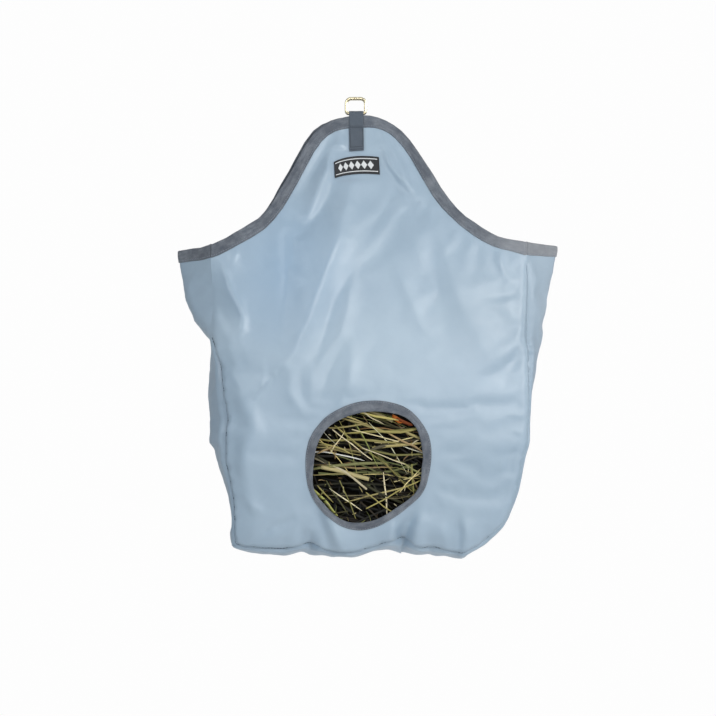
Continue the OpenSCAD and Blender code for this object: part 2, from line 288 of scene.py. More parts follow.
def tape(name="binding_tape", base=(98, 106, 117)):
    """Grosgrain binding tape: fine ribs across its width (UV X runs along the tape), rubbed paler in places, and paler
    towards its right-hand end as painted light.
    """
    m = Mat(name)
    v = m.uv()
    rib = m.wave(v, 300, "X", 0.8, 2, 3)
    lo, hi = srgb(*[c - 34 for c in base]), srgb(*[c + 20 for c in base])
    col = m.mix(rib, lo, hi)
    mott = m.noise(m.uv(scale=(1, 3.0, 1)), 70, 5, 0.65)
    col = m.mix(m.ramp(mott, [(0.38, (0, 0, 0)), (0.72, (0.55, 0.55, 0.55))]), col, srgb(156, 160, 166))
    col = m.mix(m.ramp(m.noise(v, 26, 4, 0.6), [(0.36, (0.55, 0.55, 0.55)), (0.58, (0, 0, 0))]), col, srgb(62, 68, 80))
    # painted light: the tape is made paler towards its right-hand end, where the light falls on it
    tc, sep = m.nt.nodes.new("ShaderNodeTexCoord"), m.nt.nodes.new("ShaderNodeSeparateXYZ")
    m.nt.links.new(tc.outputs["Object"], sep.inputs[0])
    col = m.mix(m.ramp(sep.outputs[0], [(0.165, (0, 0, 0)), (0.215, (0.42, 0.42, 0.42))]), col, srgb(176, 180, 186))
    m.colour(col)
    m.set(rough=0.72, spec=0.35, sheen=0.22, sheen_rough=0.5)
    b = m.bump(mott, 0.25, 0.001)
    m.normal(m.bump(rib, 0.5, 0.0006, b))
    return m.m


def web_mat():
    """Flat nylon webbing: a herringbone of fine picks (UV X along the strap)."""
    m = Mat("webbing")
    v = m.uv()
    a = m.wave(m.uv(rot=(0, 0, 0.85)), 330, "X")
    b = m.wave(m.uv(rot=(0, 0, -0.85)), 330, "X")
    side = m.wave(v, 32, "Y", profile="SAW")
    sel = m.math("GREATER_THAN", side, 0.5)
    pick = m.mix(sel, a, b)
    col = m.mix(pick, srgb(54, 63, 75), srgb(92, 102, 114))
    col = m.mix(m.math("MULTIPLY", m.noise(v, 90, 3), 0.3), col, srgb(118, 128, 138))
    m.colour(col)
    m.set(rough=0.72, spec=0.35, sheen=0.2)
    m.normal(m.bump(pick, 0.5, 0.0005))
    return m.m


def thread_mat(name, col, painted_highlight=None):
    m = Mat(name)
    v = m.coord()
    tw = m.wave(v, 900, "DIAGONAL")
    mixed = m.mix(tw, srgb(*[c * 0.8 for c in col]), srgb(*[min(255, c * 1.15) for c in col]))
    if painted_highlight is not None:
        # painted highlight: the thread of the right-hand seam is made pale, where the light catches it
        tc, sep = m.nt.nodes.new("ShaderNodeTexCoord"), m.nt.nodes.new("ShaderNodeSeparateXYZ")
        m.nt.links.new(tc.outputs["Object"], sep.inputs[0])
        mixed = m.mix(m.ramp(sep.outputs[0], [(0.19, (0, 0, 0)), (0.22, (1, 1, 1))]), mixed, srgb(*painted_highlight))
    m.colour(mixed)
    m.set(rough=0.6, spec=0.4, sheen=0.2)
    m.normal(m.bump(tw, 0.4, 0.0002))
    return m.m


def label_mat(name, lo, hi):
    """Woven damask label: tight satin weave."""
    m = Mat(name)
    v = m.uv()
    w = m.math("MULTIPLY", m.wave(v, 700, "X"), m.wave(v, 700, "Y"))
    m.colour(m.mix(w, srgb(*lo), srgb(*hi)))
    m.set(rough=0.55, spec=0.4, sheen=0.15)
    m.normal(m.bump(w, 0.3, 0.0002))
    return m.m


def brass_mat():
    """Pale plated brass wire, a little worn and dulled."""
    m = Mat("ring_brass")
    v = m.coord()
    n = m.noise(v, 260, 4, 0.6)
    m.colour(m.ramp(n, [(0.3, (0.50, 0.42, 0.25)), (0.55, (0.72, 0.64, 0.44)), (0.75, (0.84, 0.78, 0.60))]))
    m.set(metal=1.0)
    m.roughness(m.ramp(m.noise(v, 420, 3), [(0.3, (0.16, 0.16, 0.16)), (0.7, (0.34, 0.34, 0.34))]))
    m.normal(m.bump(m.noise(v, 900, 2), 0.05, 0.0003))
    return m.m


def hay_mat():
    """Dry stems: each stem's own colour from the mesh, streaked along its length."""
    m = Mat("hay_stems")
    a = m.add("ShaderNodeVertexColor", layer_name="stem")
    v = m.uv(scale=(1, 26, 1))
    st = m.noise(v, 60, 4, 0.7)
    col = m.mix(m.math("MULTIPLY", st, 0.55), a.outputs[0], m.mix(0.5, a.outputs[0], (0.05, 0.04, 0.02), "MULTIPLY"))
    m.colour(col)
    m.set(rough=0.62, spec=0.32)
    m.normal(m.bump(st, 0.4, 0.0005))
    return m.m


def hay_core_mat():
    m = Mat("hay_core")
    v = m.coord()
    s = m.noise(m.coord(scale=(1, 1, 5), rot=(0.2, 0.5, 0.3)), 90, 5, 0.7, 1.5)
    # painted shade: the fill's body is near-black, standing in for the shade deep among the stems
    m.colour(m.ramp(s, [(0.35, (0.004, 0.003, 0.002)), (0.6, (0.012, 0.010, 0.005)), (0.8, (0.04, 0.03, 0.012))]))
    m.set(rough=0.95, spec=0.1)
    m.normal(m.bump(s, 0.9, 0.004))
    return m.m


def stage_mat():
    """Plain pale floor."""
    m = Mat("stage_white")
    m.colour((0.90, 0.90, 0.90))
    m.set(rough=0.9, spec=0.1)
    m.bsdf.inputs["Emission Color"].default_value = (1, 1, 1, 1)
    lp = m.add("ShaderNodeLightPath")
    m.link(m.math("MULTIPLY", lp.outputs["Is Camera Ray"], 0.66), m.bsdf.inputs["Emission Strength"])
    return m.m


# ------------------------------------------------------------------ outlines (mm, at the plane y = 0)
def tab2(pairs):
    a = np.array(sorted(pairs), float)
    return a[:, 0], a[:, 1]


SEAM_L = tab2([(-640, -171), (-622, -171), (-559, -174), (-526, -180), (-508, -185), (-480, -184), (-465, -185),
               (-451, -182), (-441, -182), (-420, -186), (-393, -190), (-371, -192), (-350, -199), (-326, -203),
               (-290, -200), (-223, -203), (-150, -203)])
SEAM_R = tab2([(-640, 207), (-588, 214), (-580, 216), (-563, 223), (-546, 228), (-529, 232), (-512, 235), (-496, 238),
               (-487, 241), (-479, 243), (-445, 244), (-420, 245), (-393, 245), (-349, 244), (-333, 240),
               (-300, 241), (-253, 242), (-216, 239), (-150, 239)])
FOLD_L = tab2([(-640, -172), (-622, -174), (-605, -176), (-588, -173), (-571, -174), (-554, -177), (-538, -181),
               (-521, -187), (-504, -194), (-487, -199), (-479, -204), (-448, -203), (-420, -205), (-386, -205),
               (-353, -202), (-336, -205), (-328, -211), (-319, -218), (-311, -225), (-294, -232), (-277, -238),
               (-260, -241), (-244, -243), (-227, -246), (-211, -248), (-150, -248)])
FOLD_R = tab2([(-640, 205), (-596, 205), (-546, 224), (-512, 231), (-479, 239), (-445, 240), (-420, 243), (-395, 248),
               (-378, 252), (-361, 255), (-344, 258), (-328, 261), (-311, 263), (-294, 266), (-277, 269),
               (-260, 272), (-244, 275), (-227, 278), (-205, 281), (-150, 281)])
NECK = tab2([(-250, -211), (-238, -209), (-227, -207), (-216, -206), (-204, -202), (-193, -197), (-182, -192),
             (-171, -185), (-160, -179), (-148, -172), (-137, -166), (-126, -157), (-115, -144), (-104, -126),
             (-92, -107), (-81, -87), (-70, -66), (-59, -48), (-48, -37), (-36, -29.5), (-25, -25.5), (-14, -23),
             (-3, -21.5), (8, -21), (20, -21.5), (31, -24), (42, -28.5), (53, -35), (64, -44), (76, -58),
             (87, -74), (98, -91), (109, -107), (120, -125), (132, -141), (143, -153), (154, -163), (165, -170),
             (176, -177.5), (188, -184.5), (199, -190), (210, -193), (221, -195), (232, -196.5), (244, -199),
             (255, -200.5), (266, -202), (277, -203), (283, -204)])
INNER = [(-252, -229), (-244, -228), (-231, -226), (-218, -224), (-206, -221), (-193, -217), (-181, -210), (-168, -203),
         (-155, -196.5), (-143, -190), (-130, -182), (-118, -171), (-105, -156), (-92, -136), (-80, -114), (-67, -89),
         (-55, -67), (-42, -51), (-29, -43), (-17, -39.5), (0, -38), (22, -38), (35, -40), (48, -48), (60, -60),
         (73, -78), (85, -99), (98, -122), (111, -142), (123, -156), (136, -168), (148, -179), (161, -189),
         (174, -197), (186, -203), (199, -207), (211, -210), (230, -213), (252, -216), (283, -221)]
FOOT = [(-171, -624), (-154, -627), (-128, -630), (-101, -631), (-81, -627), (-66, -622), (-60, -622), (-52, -628),
        (-31, -635), (-6, -636), (14, -631), (27, -627), (42, -622), (57, -618), (66, -613), (73, -619), (85, -628),
        (96, -630), (104, -627), (112, -629), (119, -631), (133, -633), (149, -638), (164, -630), (178, -622),
        (188, -613), (197, -605), (207, -596), (212, -588)]
LIFT = tab2([(-175, 0), (-150, 1), (-130, 4), (-110, 8), (-85, 9), (-60, 6), (-40, 2), (0, 0), (50, 1), (80, 3),
             (103, 4), (130, 4), (155, 3), (175, 0)])
MID = tab2([(-645, 62), (-620, 65.5), (-600, 68), (-560, 72.5), (-520, 76), (-480, 78), (-440, 78.5), (-380, 76.5),
            (-320, 71.5), (-260, 64), (-206, 54.5), (-160, 42), (-120, 29), (-80, 17.5), (-60, 12.5), (-40, 8),
            (-25, 5.6), (0, 5)])
SIDE = tab2([(-645, 46), (-600, 49), (-560, 53), (-520, 55), (-460, 56), (-400, 55), (-340, 53), (-260, 50),
             (-206, 47), (-160, 37), (-120, 26), (-80, 15.5), (-40, 7), (0, 4.6)])


def eased(tab, sigma):
    """The same curve with its corners rounded off."""
    z = np.arange(tab[0][0], tab[0][-1] + 1, 2.0)
    v = np.interp(z, *tab)
    k = int(3 * sigma / 2)
    w = np.exp(-0.5 * (np.arange(-k, k + 1) * 2.0 / sigma) ** 2)
    lo = 2 * v[0] - v[1:k + 1][::-1]
    hi = 2 * v[-1] - v[-k - 1:-1][::-1]
    return z, np.convolve(np.concatenate([lo, v, hi]), w / w.sum(), "valid")


MID, SIDE = eased(MID, 16.0), eased(SIDE, 16.0)


def inset_edge(x, z):
    """The outline drawn in by the part of the tape that stands outside the cloth's edge."""
    t = np.stack([np.gradient(x), np.gradient(z)], -1)
    t /= np.hypot(*t.T)[:, None]
    by = np.interp(x, [-250, -165, -135, -112, -72, -55, -30, 0, 40, 60, 95, 160, 190, 300],
                   [1.8, 2.4, 1.2, -0.9, -1.0, 1.2, 2.2, 1.4, 1.6, 1.4, 0.9, 1.4, 2.0, 2.2])
    return x + t[:, 1] * by, z - t[:, 0] * by


_x, _z = inset_edge(*NECK)
NECK = tab2(list(zip(_x, _z)))
_x, _z = (np.array(q, float) for q in zip(*INNER))
_t = np.stack([np.gradient(_x), np.gradient(_z)], -1)
_t /= np.hypot(*_t.T)[:, None]
_by = np.interp(_x, [-250, -165, -135, -112, -72, -30, 30, 50, 75, 180, 205, 300], [0.9, 1.2, 0.6, -0.4, -0.5, 0.8, 0.8, -0.6, -1.8, -1.4, 0.2, 0.8])
INNER = list(zip((_x + _t[:, 1] * _by).tolist(), (_z - _t[:, 0] * _by).tolist()))
HOLE_C = (18.2, -513.8)
HOLE_IN = [54, 56, 57.5, 60, 62.5, 63, 61.5, 59, 57.5, 56.5, 56, 56, 56.5, 57.5, 58, 57.5, 57, 56.3, 56.5, 58, 60, 60,
           59, 59.5, 60, 59.5, 57.5, 55.5, 53.5, 51.5, 50.3, 50.5, 52, 54, 54.8, 54.2]
HOLE_OUT = [61.5, 63.5, 66, 68, 69, 70, 70, 68.6, 67.4, 66.5, 66, 65.6, 65.5, 66, 65.8, 65.8, 65, 64, 63.2, 63.4, 64,
            64.2, 64, 64.4, 65, 65, 64, 62, 59.5, 57.3, 56, 55.6, 56.5, 58.8, 60, 60.3]


def I(z, t):
    return np.interp(z, t[0], t[1])


def sstep(x, a, b):
    t = np.clip((np.asarray(x, float) - a) / (b - a), 0, 1)
    return t * t * (3 - 2 * t)


def hole_r(deg, table):
    """Radius of the hole's inner or outer outline, in mm, degrees anticlockwise from +X."""
    a = np.asarray(deg, float) % 360
    k = np.arange(-2, 39) * 10.0
    v = np.array([table[i % 36] for i in range(-2, 39)])
    i = (a / 10).astype(int) + 2
    t = a / 10 - np.floor(a / 10)
    p0, p1, p2, p3 = v[i - 1], v[i], v[(i + 1)], v[np.minimum(i + 2, 40)]
    return 1.4 * (p1 + 0.5 * t * (p2 - p0 + t * (2 * p0 - 5 * p1 + 4 * p2 - p3 + t * (3 * (p1 - p2) + p3 - p0))))


# ------------------------------------------------------------------ folds of the front panel
def P(*pts):
    """Picture-like coordinates (right, down from the top of the ring) to mm."""
    return np.array([((x - 356) * 1.4, (100 - y) * 1.4) for x, y in pts])


# (line, height mm at its middle, reach left, reach right (mm), crest radius, taper at start, at end)
FRONT_FOLDS = [
    # the broad fold from the tab down to the left, with the small ones beside it
    (P((351, 168), (350, 183), (344, 210), (339, 236), (326, 268), (309, 316), (293, 352), (284, 363)), 8.2, 56, 26, 2.2, 0.5, 0.6),
    (P((289, 222), (289, 250), (288, 275), (283, 320), (283, 350)), -1.6, 10, 22, 3, 0.5, 0.5),
    (P((288, 224), (289, 272)), 0.7, 3, 4, 1.5, 0.4, 0.3),
    (P((348, 281), (335, 297), (328, 321), (318, 356)), -1.4, 10, 6, 2, 0.4, 0.5),
    (P((352, 279), (346, 312), (341, 332), (320, 361)), 1.9, 8, 16, 2, 0.3, 0.4),
    (P((342, 345), (328, 372), (322, 394)), -1.4, 8, 10, 2.5, 0.4, 0.5),
    (P((351, 348), (350, 381), (341, 402)), 2.2, 13, 15, 3, 0.4, 0.4),
    (P((291, 370), (290, 392), (304, 416)), 1.3, 9, 8, 2, 0.4, 0.4),
    (P((300, 370), (302, 395), (312, 408)), -0.7, 6, 6, 2, 0.4, 0.4),
    (P((312, 368), (311, 400)), 0.8, 8, 7, 2, 0.4, 0.4),
    # the peak
    (P((334, 134), (323, 154), (311, 174), (299, 196)), -3.4, 12, 8, 2, 0.7, 0.6),
    (P((343, 140), (334, 160), (323, 178), (315, 198), (308, 215)), 4.0, 12, 9, 2, 0.35, 0.6),
    (P((335, 178), (330, 194), (320, 212), (308, 224)), -3.0, 8, 15, 2.5, 0.6, 0.6),
    (P((381, 132), (392, 150), (402, 168), (411, 188)), 3.2, 5, 8, 1.5, 0.5, 0.3),
    (P((381, 145), (391, 165), (405, 182), (416, 196)), 4.6, 7, 10, 1.8, 0.5, 0.35),
    (P((384, 160), (395, 182), (405, 210)), -1.1, 6, 6, 1.5, 0.4, 0.4),
    (P((345, 127), (344, 143)), -2.4, 5, 4, 1.5, 0.4, 0.3),
    # down to the right
    (P((399, 200), (409, 232), (424, 262), (434, 292)), 1.1, 11, 16, 4, 0.5, 0.5),
    (P((392, 256), (410, 298), (425, 330)), 1.3, 10, 18, 2.5, 0.2, 0.4),
    (P((434, 232), (441, 253), (465, 310), (491, 356)), 2.2, 26, 34, 4, 0.3, 0.6),
    (P((434, 240), (441, 290), (447, 345)), -0.7, 12, 18, 4, 0.4, 0.5),
    # the left corner
    (P((220, 261), (228, 283), (236, 299), (243, 315), (243, 328)), 3.8, 15, 6, 1.6, 0.3, 0.5),
    (P((213, 286), (217, 308), (230, 327)), -2.2, 9, 9, 3, 0.3, 0.4),
    (P((238, 248), (229, 264)), 1.7, 5, 6, 1.5, 0.1, 0.4),
    (P((264, 369), (262, 385), (246, 399)), 2.2, 16, 6, 2, 0.4, 0.4),
    (P((243, 396), (252, 410), (254, 430), (246, 452), (243, 472), (241, 494)), 4.4, 18, 30, 4, 0.5, 0.4),
    # the right edge
    (P((497, 248), (500, 260), (504, 274)), 1.7, 5, 6, 1.8, 0.1, 0.4),
    (P((492, 296), (508, 294), (524, 291)), -0.7, 9, 9, 4, 0.1, 0.3),
    (P((523, 252), (524, 280), (524, 320)), 1.3, 6, 4, 2.0, 0.2, 0.5),
    (P((526, 340), (516, 356), (507, 374)), -2.0, 10, 20, 3, 0.1, 0.4),
    (P((511, 414), (526, 417)), 0.9, 4, 4, 1.5, 0.3, 0.2),
    (P((511, 430), (526, 434)), 0.9, 4, 5, 1.5, 0.3, 0.2),
    (P((503, 455), (520, 451)), -1.0, 5, 5, 2, 0.3, 0.2),
    (P((503, 458), (501, 467), (495, 472)), 0.9, 4, 4, 1.5, 0.3, 0.3),
    # the foot
    (P((292, 519), (272, 526), (255, 541)), -2.2, 5, 6, 2, 0.4, 0.3),
    (P((244, 498), (254, 508), (266, 514)), 1.6, 10, 10, 3, 0.3, 0.3),
    (P((322, 500), (331, 524), (342, 549)), 5.6, 8, 24, 2.0, 0.3, 0.8),
    (P((314, 506), (322, 528), (331, 548)), -2.6, 13, 6, 2.5, 0.3, 0.8),
    (P((414, 508), (408, 526), (405, 545)), -5.5, 10, 9, 2.5, 0.3, 0.9),
    (P((422, 508), (418, 528), (416, 548)), 3.0, 10, 16, 3, 0.3, 0.8),
    (P((398, 520), (392, 534), (390, 547)), 3.0, 10, 9, 3, 0.3, 0.8),
    (P((457, 516), (458, 534), (458, 552)), -3.4, 8, 7, 2.2, 0.2, 0.9),
    (P((464, 516), (467, 534), (469, 552)), 2.8, 7, 16, 2.5, 0.2, 0.8),
    (P((441, 520), (444, 536), (447, 552)), 1.8, 10, 9, 3, 0.2, 0.8),
    (P((303, 528), (308, 540), (312, 549)), -2.6, 8, 7, 2.5, 0.2, 0.9),
]


def line_field(X, Z, line):
    """Signed distance (+ to the right of a line that runs downward) and place 0..1 along it."""
    best = np.full(X.shape, 1e9)
    sgn = np.ones(X.shape)
    along = np.zeros(X.shape)
    seg = np.diff(line, axis=0)
    ln = np.hypot(seg[:, 0], seg[:, 1])
    cum = np.concatenate([[0], np.cumsum(ln)])
    for i in range(len(seg)):
        dx, dz = X - line[i, 0], Z - line[i, 1]
        t = np.clip((dx * seg[i, 0] + dz * seg[i, 1]) / ln[i] ** 2, 0, 1)
        px, pz = dx - t * seg[i, 0], dz - t * seg[i, 1]
        d = np.hypot(px, pz)
        s = np.sign(seg[i, 0] * pz - seg[i, 1] * px)
        m = d < best
        best = np.where(m, d, best)
        sgn = np.where(m, np.where(s == 0, 1, s), sgn)
        along = np.where(m, (cum[i] + t * ln[i]) / cum[-1], along)
    return best * sgn, along


FOLD_GAIN = 1.4


def folds(X, Z, table):
    """Forward displacement of the cloth by its folds."""
    h = np.zeros(X.shape)
    for line, amp, wl, wr, r, t0, t1 in table:
        ok = (X > line[:, 0].min() - 2.2 * max(wl, wr)) & (X < line[:, 0].max() + 2.2 * max(wl, wr)) & \
             (Z > line[:, 1].min() - 2.2 * max(wl, wr)) & (Z < line[:, 1].max() + 2.2 * max(wl, wr))
        if not ok.any():
            continue
        d, s = line_field(X[ok], Z[ok], line)
        w = np.where(d < 0, wl, wr)
        q = np.sqrt(d * d + r * r) - r
        f = np.exp(-((q / w) ** 1.25) * 1.6)
        a = np.where(s < 0.5, t0 + (1 - t0) * sstep(s, 0, 0.4), t1 + (1 - t1) * sstep(1 - s, 0, 0.4))
        h[ok] += FOLD_GAIN * amp * a * f
    return h


def vnoise(X, Z, scale, seed):
    return np.array([noise.noise(Vector((x / scale, z / scale, seed))) for x, z in zip(X, Z)])


def fade_edges(X, Z):
    """0 at the side seams to 1 inside the panel."""
    return sstep(np.minimum(X - I(Z, SEAM_L), I(Z, SEAM_R) - X), 0, 26)


NOTCH = [(-63, -621, 9), (64, -613, 11), (28, -627, 3), (-101, -630, 3), (104, -627, 5), (121, -630, 3),
         (149, -636, -3), (182, -616, 4)]


def stiff(X, Z):
    """1 under the label and the webbing tab, which keep the cloth flat, to 0 a little way off."""
    def box_off(x0, x1, z0, z1):
        dx = np.maximum(np.maximum(x0 - X, X - x1), 0)
        dz = np.maximum(np.maximum(z0 - Z, Z - z1), 0)
        return np.hypot(dx, dz)
    return 1 - sstep(np.minimum(box_off(-31, 34, -108, -71), box_off(-11, 13, -74, 0)), 0.5, 8)


def panel_y(X, Z, side, detail=True):
    """Distance of the front (side -1) or back (+1) panel from the middle plane."""
    X, Z = np.asarray(X, float), np.asarray(Z, float)
    l, r = I(Z, SEAM_L), I(Z, SEAM_R)
    u = np.clip((X - l) / (r - l), 0, 1)
    m, s = I(Z, MID), I(Z, SIDE)
    flat = m - (m - s) * 0.35 * np.abs(2 * u - 1) ** 2.4
    # the filled part rolls back at the side seams
    d = np.minimum(u, 1 - u) * (r - l)
    wide = np.where(u < 0.5, 32.0, 12.0)
    t = 1 - np.clip(d / wide, 0, 1)
    turn = 1 - np.sqrt(np.clip(1 - t ** 2, 0, 1))
    lo = 0.35 * sstep(-Z, 375, 430)
    turn = np.where(u < 0.5, (1 - lo) * turn + lo * t * t * (3 - 2 * t), turn)
    roll = (m - s) * 0.65 * (0.15 + 0.85 * sstep(-Z, 235, 350)) * turn
    y = flat - roll
    # the loose left corner turns back before it reaches the seam
    y = y - 11 * np.clip(1 - (X - l) / 46, 0, 1) ** 1.7 * sstep(-Z, 212, 262) * (1 - sstep(-Z, 330, 420))
    y = y - 2.5 * np.clip(1 - (r - X) / 26, 0, 1) ** 1.7 * sstep(-Z, 212, 262) * (1 - sstep(-Z, 330, 420))
    # the panel is pinched where the bottom seam puckers
    for px, pz, amp in NOTCH:
        y = y - amp * np.exp(-((X - px) / 8.5) ** 2 - ((Z - pz) / 17) ** 2)
    # and rolls under towards the bottom seam
    foot = np.interp(X, [p[0] for p in FOOT], [p[1] for p in FOOT])
    under = np.clip(1 - (Z - foot) / 26, 0, 1)
    y = y - 7 * under ** 2
    y = y + 2.2 * np.sin((X + 60) / 75) * sstep(-Z, 330, 470) * fade_edges(X, Z)
    if not detail:
        return y
    f = 0.30 + 0.70 * fade_edges(X, Z)
    if side < 0:
        y = y + folds(X, Z, FRONT_FOLDS) * f * (1 - 0.88 * stiff(X, Z))
    else:
        y = y + folds(X, Z, BACK_FOLDS) * f
    n = vnoise(X, Z, 52, 3 + side) * (0.85 + 0.45 * side) + vnoise(X, Z, 21, 9 + side) * 0.3
    low = sstep(-Z, 40, 120)
    return y + n * low * (0.3 + 0.7 * fade_edges(X, Z))


BACK_FOLDS = [
    (P((360, 170), (366, 220), (380, 270), (402, 330), (420, 372)), 6.5, 34, 60, 5, 0.35, 0.5),
    (P((350, 178), (338, 225), (316, 275), (290, 330)), 4.5, 26, 22, 4, 0.4, 0.5),
    (P((372, 150), (398, 190), (430, 240), (470, 290)), 3.5, 18, 22, 4, 0.5, 0.4),
    (P((340, 150), (316, 190), (290, 226), (262, 262)), 3.0, 16, 16, 4, 0.5, 0.4),
    (P((352, 300), (346, 350), (352, 410)), 3.0, 22, 22, 6, 0.4, 0.4),
    (P((230, 250), (238, 275), (250, 300)), 2.4, 10, 10, 3, 0.1, 0.4),
    (P((505, 252), (497, 278), (480, 306)), 2.4, 10, 10, 3, 0.1, 0.4),
    (P((226, 380), (246, 372), (268, 376)), 2.2, 10, 10, 3, 0.1, 0.4),
    (P((524, 400), (504, 392), (486, 396)), 2.2, 10, 10, 3, 0.1, 0.4),
    (P((330, 505), (326, 528), (322, 552)), 4.0, 14, 20, 3, 0.2, 0.8),
    (P((404, 515), (402, 532), (404, 548)), -3.5, 12, 12, 3, 0.2, 0.9),
    (P((456, 512), (460, 534), (462, 552)), -2.8, 12, 10, 3, 0.2, 0.9),
    (P((276, 520), (280, 536), (282, 550)), -2.4, 12, 10, 3, 0.2, 0.9),
    (P((300, 420), (330, 450), (372, 462), (420, 450)), 2.6, 26, 26, 8, 0.4, 0.4),
]


def unwarp(p):
    """Moves points so the camera sees them where the outlines say; only what is in front of y = 0 moves."""
    p = np.asarray(p, float).copy()
    f = 1 + np.minimum(p[..., 1], 0) / CAM_D
    p[..., 0] = XC + (p[..., 0] - XC) * f
    p[..., 2] = ZC + (p[..., 2] - ZC) * f
    return p


def panel_point(X, Z, side, detail=True):
    X, Z = np.asarray(X, float), np.asarray(Z, float)
    y = panel_y(X, Z, side, detail) * side
    return unwarp(np.stack([X, y, Z], -1))


# ------------------------------------------------------------------ the side and base strip
def resample(pts, step):
    """Evenly spaced points on a polyline, keeping its ends."""
    pts = np.asarray(pts, float)
    ln = np.hypot(*np.diff(pts, axis=0).T)
    cum = np.concatenate([[0], np.cumsum(ln)])
    n = max(2, int(round(cum[-1] / step)) + 1)
    s = np.linspace(0, cum[-1], n)
    return np.stack([np.interp(s, cum, pts[:, 0]), np.interp(s, cum, pts[:, 1])], -1)


def seam_path(step):
    """(X, Z) of the front seam: down the left side, along the bottom, up the right side."""
    zl = np.arange(-203, -618, -4.0)
    left = [(float(I(z, SEAM_L)), z) for z in zl]
    zr = np.arange(-584, -198, 4.0)
    right = [(float(I(z, SEAM_R)), z) for z in zr] + [(239.0, -198.3)]
    return resample(left + FOOT + right, step)


def strip_param(path):
    """Outward direction (x, z) and outward reach of the strip's middle, for each seam point."""
    n = len(path)
    tang = np.gradient(path, axis=0)
    k = np.array([1, 4, 6, 4, 1]) / 16
    for _ in range(4):
        tang = np.stack([np.convolve(np.pad(tang[:, i], 2, mode="edge"), k, "valid") for i in (0, 1)], -1)
    tang /= np.hypot(tang[:, 0], tang[:, 1])[:, None]
    out = np.stack([tang[:, 1], -tang[:, 0]], -1)  # path runs left side down, so outside is to its right hand
    X, Z = path[:, 0], path[:, 1]
    reach = np.where(X < 0, I(Z, SEAM_L) - I(Z, FOLD_L), I(Z, FOLD_R) - I(Z, SEAM_R))
    base = sstep(np.abs(out[:, 1]), 0.35, 0.9)
    low = 4.2 + 1.2 * np.sin(X / 23.0) + 0.8 * np.sin(X / 9.0) - 3.0 * sstep(X, 140, 175)
    for px, amp, w in ((-63, 11.0, 13.0), (62, 12.0, 15.0), (84, 3.0, 20.0), (110, 5.0, 10.0), (20, -4.5, 16.0), (172, -3.0, 22.0)):
        low = low + amp * np.exp(-((X - px) / w) ** 2)
    reach = reach * (1 - base) + base * low
    sharp = 1 + sstep(-Z, 215, 330)
    return out, reach, sharp, base


def soft_abs(s):
    e = 0.006
    return (np.sqrt(s * s + e) - math.sqrt(e)) / (math.sqrt(1 + e) - math.sqrt(e))


def strip_point(path, i, s, detail=True):
    """Point of the strip at (fractional) seam index i and s from -1 (front seam) to 1 (back seam)."""
    out, reach, sharp, base = STRIP
    n = len(path)
    idx = np.arange(n)
    X, Z = np.interp(i, idx, path[:, 0]), np.interp(i, idx, path[:, 1])
    ox, oz = np.interp(i, idx, out[:, 0]), np.interp(i, idx, out[:, 1])
    rc, sh, bs = np.interp(i, idx, reach), np.interp(i, idx, sharp), np.interp(i, idx, base)
    yf = np.interp(i, idx, SEAM_Y[0])
    yb = np.interp(i, idx, SEAM_Y[1])
    bulge = 1 - soft_abs(s) ** sh
    if detail:
        # crumples across the strip, stronger where it is slack
        env = (1 - s * s)
        w = np.array([noise.noise(Vector((a / 8.0, b * 1.2, 21.0))) for a, b in zip(i, s)])
        w2 = np.array([noise.noise(Vector((a / 3.2, b * 2.2, 31.0))) for a, b in zip(i, s)])
        rc = rc + env * (w * 2.6 + w2 * 0.9) * (0.3 + 0.7 * sstep(-Z, 235, 300)) * (1 - 0.3 * bs)
    y = np.where(s < 0, yf * -s * -1, yb * s)
    # the seam is drawn in behind the panel's rolled edge
    tk = tuck_at(X, Z, bs)
    e = (1 - np.abs(s)) * yf
    pull = tk * (-0.95 * np.exp(-(e / 3.0) ** 2) + 0.35 * np.exp(-((e - 9) / 6.0) ** 2))
    y = y - np.sign(s) * 0.9 * tk * np.exp(-(e / 3.0) ** 2)
    q = rc * bulge + pull
    p = np.stack([X + ox * q, y, Z + oz * q], -1)
    return unwarp(p)


def tuck_at(X, Z, base):
    """How far the seam is drawn in: little on the loose wings, most where the fill pushes the panel out."""
    wing = np.where(X > 0, 1.5 * sstep(-Z, 222, 232), 0.0)
    return np.maximum(np.maximum(4.0 * sstep(-Z, 322, 352), 3.8 * base), wing)


